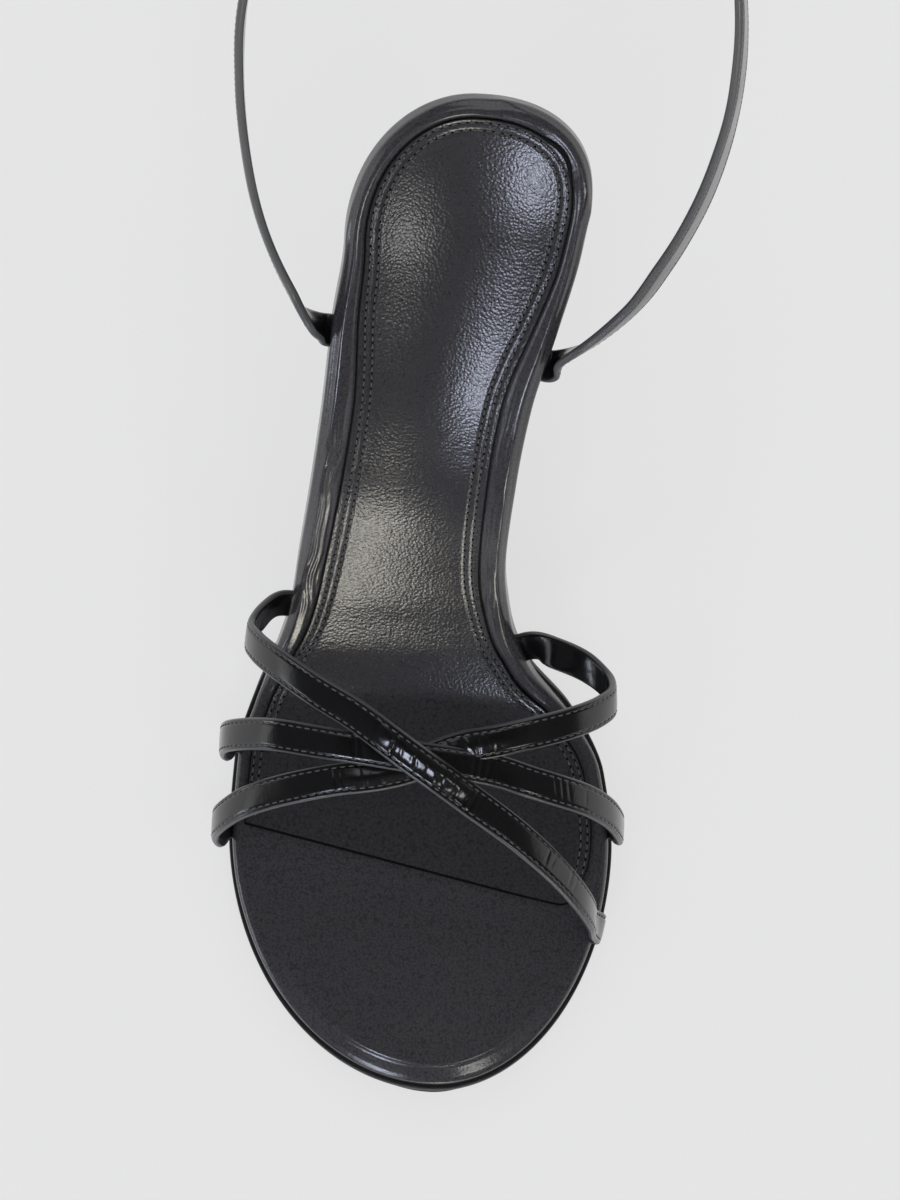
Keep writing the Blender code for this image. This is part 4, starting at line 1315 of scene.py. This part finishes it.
# across, back, up as shares, and the lean of the face in degrees; the first and last rows only give
# the way that the strap comes in
ankleLoop = [
    (-0.330, 0.010, 0.060, -4), (-0.386, 0.066, 0.105, 0), (-0.425, 0.133, 0.185, 3),
    (-0.460, 0.219, 0.315, 5), (-0.482, 0.324, 0.460, 5), (-0.490, 0.438, 0.615, 5),
    (-0.480, 0.552, 0.760, 6), (-0.438, 0.686, 0.877, 8), (-0.344, 0.838, 0.960, 10),
    (-0.190, 0.952, 0.992, 10), (0.010, 0.995, 1.000, 10), (0.210, 0.962, 0.992, 10),
    (0.375, 0.857, 0.960, 10), (0.478, 0.714, 0.892, 12), (0.514, 0.600, 0.790, 20),
    (0.527, 0.470, 0.650, 28), (0.513, 0.352, 0.485, 33), (0.475, 0.240, 0.330, 33),
    (0.417, 0.140, 0.195, 30), (0.358, 0.062, 0.108, 16), (0.280, 0.000, 0.055, 0),
]


def ankleCourse():
    look = ankleLook
    y = placeOf(look["lateral"])
    base = np.array([0.0, y, float(lastHeight(np.array(0.0), np.array(y))) + last["seatCup"]])
    start = strapTuck("lateral", look["lateral"], ())
    end = strapTuck("medial", look["medial"], ())
    sizes = (look["width"], look["reach"], look["rise"])
    points = [base + np.multiply(row[:3], sizes) for row in ankleLoop]
    ends = [start[-1][0], *points, end[-1][0]]
    for side, tuck, share in (("lateral", start, look["lateral"]), ("medial", end, look["medial"])):
        x, y = edgePoint(half(closedRim()[0], side), share)
        turn = -1 if side == "lateral" else 1
        for out, back, rise, *face in look["roots"][side]:
            foot = overLast(x + turn * out, y + back, rise)
            tuck.append((foot, np.array(face)))
    up = np.array([0.0, 0.0, 1.0])
    stops = []
    for row, point, before, after in zip(ankleLoop, points, ends, ends[2:]):
        away = np.cross(up, after - before)
        away /= np.linalg.norm(away)
        lean = radians(row[3])
        stops.append((point, away * cos(lean) + up * sin(lean)))
    return evenCourse([*start, *stops[1:-1], *reversed(end)], strapLook["ankleStep"])


def partOf(course, start, end):
    s = course[3]
    keep = (s >= start * s[-1]) & (s <= end * s[-1])
    return [line[keep] for line in course]


def frameAt(course, share, lift):
    # X along the strap's width, Y along its length, Z out of its face
    i = int(np.argmin(np.abs(course[3] - share * course[3][-1])))
    out, across = Vector(course[1][i]), Vector(course[2][i])
    turned = Matrix((across, out.cross(across), out)).transposed()
    return Matrix.Translation(Vector(course[0][i]) + out * lift) @ turned.to_4x4()


def tubeAround(name, path, radius, sides, closed, finish):
    # a round wire along a path; a closed one meets itself, an open one has round tips
    path = np.asarray(path, float)
    if closed:
        directions = np.roll(path, -1, axis=0) - np.roll(path, 1, axis=0)
        reference = np.cross(path[1] - path[0], path[len(path) // 3] - path[0])
    else:
        directions = np.gradient(path, axis=0)
        reference = np.array([0.31, 0.2, 0.93])
    directions /= np.linalg.norm(directions, axis=1)[:, None]
    reference = reference / np.linalg.norm(reference)
    out, aside = squared(directions, np.repeat(reference[None], len(path), axis=0))
    radius = np.broadcast_to(radius, len(path))
    rows = []
    for point, o, a, r in zip(path, out, aside, radius):
        angles = np.linspace(0, 2 * pi, sides + 1)
        rows.append([point + o * r * cos(t) + a * r * sin(t) for t in angles])
    rows = np.array(rows)
    rows[:, -1] = rows[:, 0]
    if closed:
        rows = np.concatenate([rows, rows[:1]])
    else:
        rows = np.concatenate([capRow(rows[0]), rows, capRow(rows[-1])])
    return surfaceGrid(name, rows, finish)


buckleLook = {"length": 0.0120, "wire": 0.0016, "prong": 0.0012, "keeperWidth": 0.0045, "keeperWall": 0.0011}


def roundedLoop(halfX, halfY, corner, steps):
    points = []
    for x, y, turn in ((1, 1, 0), (-1, 1, 90), (-1, -1, 180), (1, -1, 270)):
        for step in np.linspace(0, 90, steps):
            angle = radians(turn + step)
            spot = (x * (halfX - corner) + corner * cos(angle), y * (halfY - corner) + corner * sin(angle))
            points.append(spot)
    points = np.array(points + points[:1])
    lengths = np.concatenate([[0], np.cumsum(np.linalg.norm(np.diff(points, axis=0), axis=1))])
    even = np.linspace(0, lengths[-1], 97)[:-1]
    return np.column_stack([np.interp(even, lengths, points[:, k]) for k in range(2)])


def makeBuckle(place):
    look = buckleLook
    halfWidth = strapLook["width"] / 2 + last["clearance"] + look["wire"] / 2
    halfLength = look["length"] / 2
    loop = roundedLoop(halfWidth, halfLength, look["wire"], 9)
    ring = [place @ Vector((x, y, 0.0)) for x, y in loop]
    piece = tubeAround("buckleFrame", ring, look["wire"] / 2, 16, True, finishes["metal"])
    settle(piece, "buckle_metal", "buckle_frame")
    over = (look["wire"] + look["prong"]) / 2 + last["clearance"]
    out = halfLength + look["wire"] / 2
    ys = np.linspace(-out, out, 40)
    path = [place @ Vector((0.0, y, over)) for y in ys]
    tip = np.sqrt(np.clip((out - ys) / (0.4 * mm), 0.05, 1))
    taper = look["prong"] / 2 * (1 - 0.35 * fade(ys, out * 0.2, out)) * tip
    piece = tubeAround("bucklePin", path, taper, 14, False, finishes["metal"])
    settle(piece, "buckle_metal", "buckle_prong")


def makeKeeper(place):
    look = buckleLook
    innerX = strapLook["width"] / 2 + last["clearance"]
    innerZ = strapLook["thickness"] + 1.5 * last["clearance"]
    wall = look["keeperWall"]
    loop = roundedLoop(innerX + wall / 2, innerZ + wall / 2, 1.1 * mm, 7)
    ahead = np.roll(loop, -1, axis=0) - np.roll(loop, 1, axis=0)
    out = np.column_stack([ahead[:, 1], -ahead[:, 0]])
    out /= np.linalg.norm(out, axis=1)[:, None]
    section = []
    halfWidth, e = look["keeperWidth"] / 2, wall / 2
    for x, turn in ((halfWidth - e, 90), (-(halfWidth - e), 270)):
        for step in np.linspace(0, -180, 9):
            angle = radians(turn + step)
            section.append((x + e * cos(angle), e * sin(angle)))
    section.append(section[0])
    rows = []
    for (x, z), o in zip(loop, out):
        rows.append([place @ Vector((x + o[0] * h, y, z + o[1] * h)) for y, h in section])
    rows = np.array([[list(point) for point in row] for row in rows])
    rows = np.concatenate([rows, rows[:1]])
    piece = surfaceGrid("strapKeeper", rows, finishes["heel leather"])
    settle(piece, "strap_leather", "strap_keeper")


def makeAnkle():
    look = ankleLook
    course = ankleCourse()
    layerGap = strapLook["thickness"] + last["clearance"]
    piece = strapMesh("ankleStrap", course)
    settle(piece, "strap_leather", "ankle_strap")
    rows = [stitchRow(course, 0.0, edge) for edge in (-1, 1)]
    stitches = sewRows(rows, "ankleStitches", stitchModel(False))
    settle(stitches, "strap_leather")
    tail = partOf(course, look["tailEnd"], look["tailStart"])
    piece = strapMesh("strapTail", tail, layerGap, pointed=True)
    holes = []
    for k in range(look["holes"]):
        deselectAll()
        at = frameAt(course, look["tailEnd"] + look["holePitch"] * (k + 1), layerGap)
        bpy.ops.mesh.primitive_cylinder_add(vertices=20, radius=look["holeRadius"], depth=6 * mm)
        hole = bpy.context.object
        hole.matrix_world = at
        bpy.ops.object.transform_apply(location=True, rotation=True, scale=True)
        holes.append(hole)
    cutter = joinPieces(holes, "holePunch")
    applyModifier(piece, "BOOLEAN", object=cutter, operation="DIFFERENCE", solver="EXACT")
    bpy.data.objects.remove(cutter, do_unlink=True)
    takeOnly(piece)
    bpy.ops.object.shade_smooth_by_angle(angle=radians(50))
    settle(piece, "strap_leather", "strap_tail")
    tailFace = layerGap + strapLook["thickness"] / 2
    makeBuckle(frameAt(course, look["buckleAt"], tailFace + last["clearance"] + buckleLook["wire"] / 2))
    makeKeeper(frameAt(course, look["keeperAt"], layerGap / 2))
    print("ankle strap fastened")


# Heel

heelLook = {
    "tipLength": 0.0105,
    "tipWidth": 0.0100,
    "tipHeight": 0.0060,
    "tipSetback": 0.0270,
    "tipBehind": 0.0065,
    "inset": 0.0006,
    "breastCurve": 0.0020,
    "gap": 0.1 * mm,
    "points": 72,
    "rings": 44,
}
# height and how far the outline has grown from the tip to the seat
heelRings = [
    (0.00, 0.00), (0.18, 0.02), (0.36, 0.06), (0.52, 0.13), (0.66, 0.25),
    (0.78, 0.42), (0.87, 0.62), (0.94, 0.82), (1.00, 1.00),
]


def alongLine(line, share):
    lengths = np.concatenate([[0], np.cumsum(np.linalg.norm(np.diff(line, axis=0), axis=1))])
    return np.array([np.interp(share * lengths[-1], lengths, line[:, k]) for k in range(2)])


def heelOutlines():
    look = heelLook
    start = outsoleLook["endsAt"] + last["clearance"] / last["planLength"]
    edge = closedRim(lambda share, medial: np.full(len(share), -look["inset"]))[0]
    lines = [half(edge, side) for side in ("lateral", "medial")]
    around = [line[shareOf(line[:, 1]) > start] for line in lines]
    corners = [edgePoint(line, start) for line in lines]
    back = np.concatenate([corners[:1], around[0], around[1][-2::-1], corners[1:]])
    middle = placeOf(1.0) - look["tipSetback"]
    top, tip = [], []
    for share in np.linspace(0, 1, look["points"]):
        angle = pi * (1 - share)
        top.append(alongLine(back, share))
        tip.append([cos(angle) * look["tipWidth"] / 2, middle + sin(angle) * look["tipBehind"]])
    front = look["points"] // 3
    for i in range(1, front):
        share = i / front
        bulge = (look["tipLength"] - look["tipBehind"]) * sin(pi * share) ** 0.5
        top.append(corners[1] * (1 - share) + corners[0] * share + (0, look["breastCurve"] * sin(pi * share)))
        tip.append([look["tipWidth"] * (0.5 - share), middle - bulge])
    top.append(top[0])
    tip.append(tip[0])
    return np.array(top), np.array(tip)


def makeHeel():
    look = heelLook
    top, tip = heelOutlines()
    base = look["tipHeight"] + last["clearance"]
    seat = lastHeight(top[:, 0], top[:, 1]) - look["gap"]
    rings = []
    for height in np.linspace(0, 1, look["rings"]):
        spread = float(smoothTable([r[0] for r in heelRings], [r[1] for r in heelRings], height))
        outline = tip * (1 - spread) + top * spread
        rings.append(np.column_stack([outline, base + (seat - base) * height]))
    centre = top[:-1].mean(axis=0)
    for share in (0.9, 0.7, 0.5, 0.3, 0.1, 0.0):
        inner = centre + (top - centre) * share
        rings.append(np.column_stack([inner, lastHeight(inner[:, 0], inner[:, 1]) - look["gap"]]))
    foot = np.repeat([[*tip[:-1].mean(axis=0), base]], len(tip), axis=0)
    piece = surfaceGrid("heelBlock", np.array([foot, *rings]), finishes["heel leather"])
    takeOnly(piece)
    bpy.ops.object.shade_smooth_by_angle(angle=radians(40))
    settle(piece, "heel_leather", "heel")

    edge = 0.5 * mm
    centre = tip[:-1].mean(axis=0)
    tall = look["tipHeight"]
    section = [
        (1.0, 0.0), (0.35, 0.0), (edge, 0.0), (edge * 0.3, edge * 0.3), (0, edge),
        (0, tall - 0.2 * mm), (0.2 * mm, tall), (1.0, tall),
    ]
    rows = []
    for inset, z in section:
        if inset > 0.01:
            outline = centre + (tip - centre) * (1 - inset)
        else:
            length = np.linalg.norm(tip - centre, axis=1)[:, None]
            outline = centre + (tip - centre) * (1 - inset / length)
        rows.append(np.column_stack([outline, np.full(len(tip), z)]))
    piece = surfaceGrid("heelTip", np.array(rows), finishes["rubber"])
    takeOnly(piece)
    bpy.ops.object.shade_smooth_by_angle(angle=radians(40))
    settle(piece, "tip_rubber", "heel_tip")
    print("heel made")


makeCamera()
makeFloor()
makeStudio()
makeOutsole()
makeFootbed()
makeSock()
print("sole made")
makeHeel()
makeVamp()
sewSock()
makeAnkle()
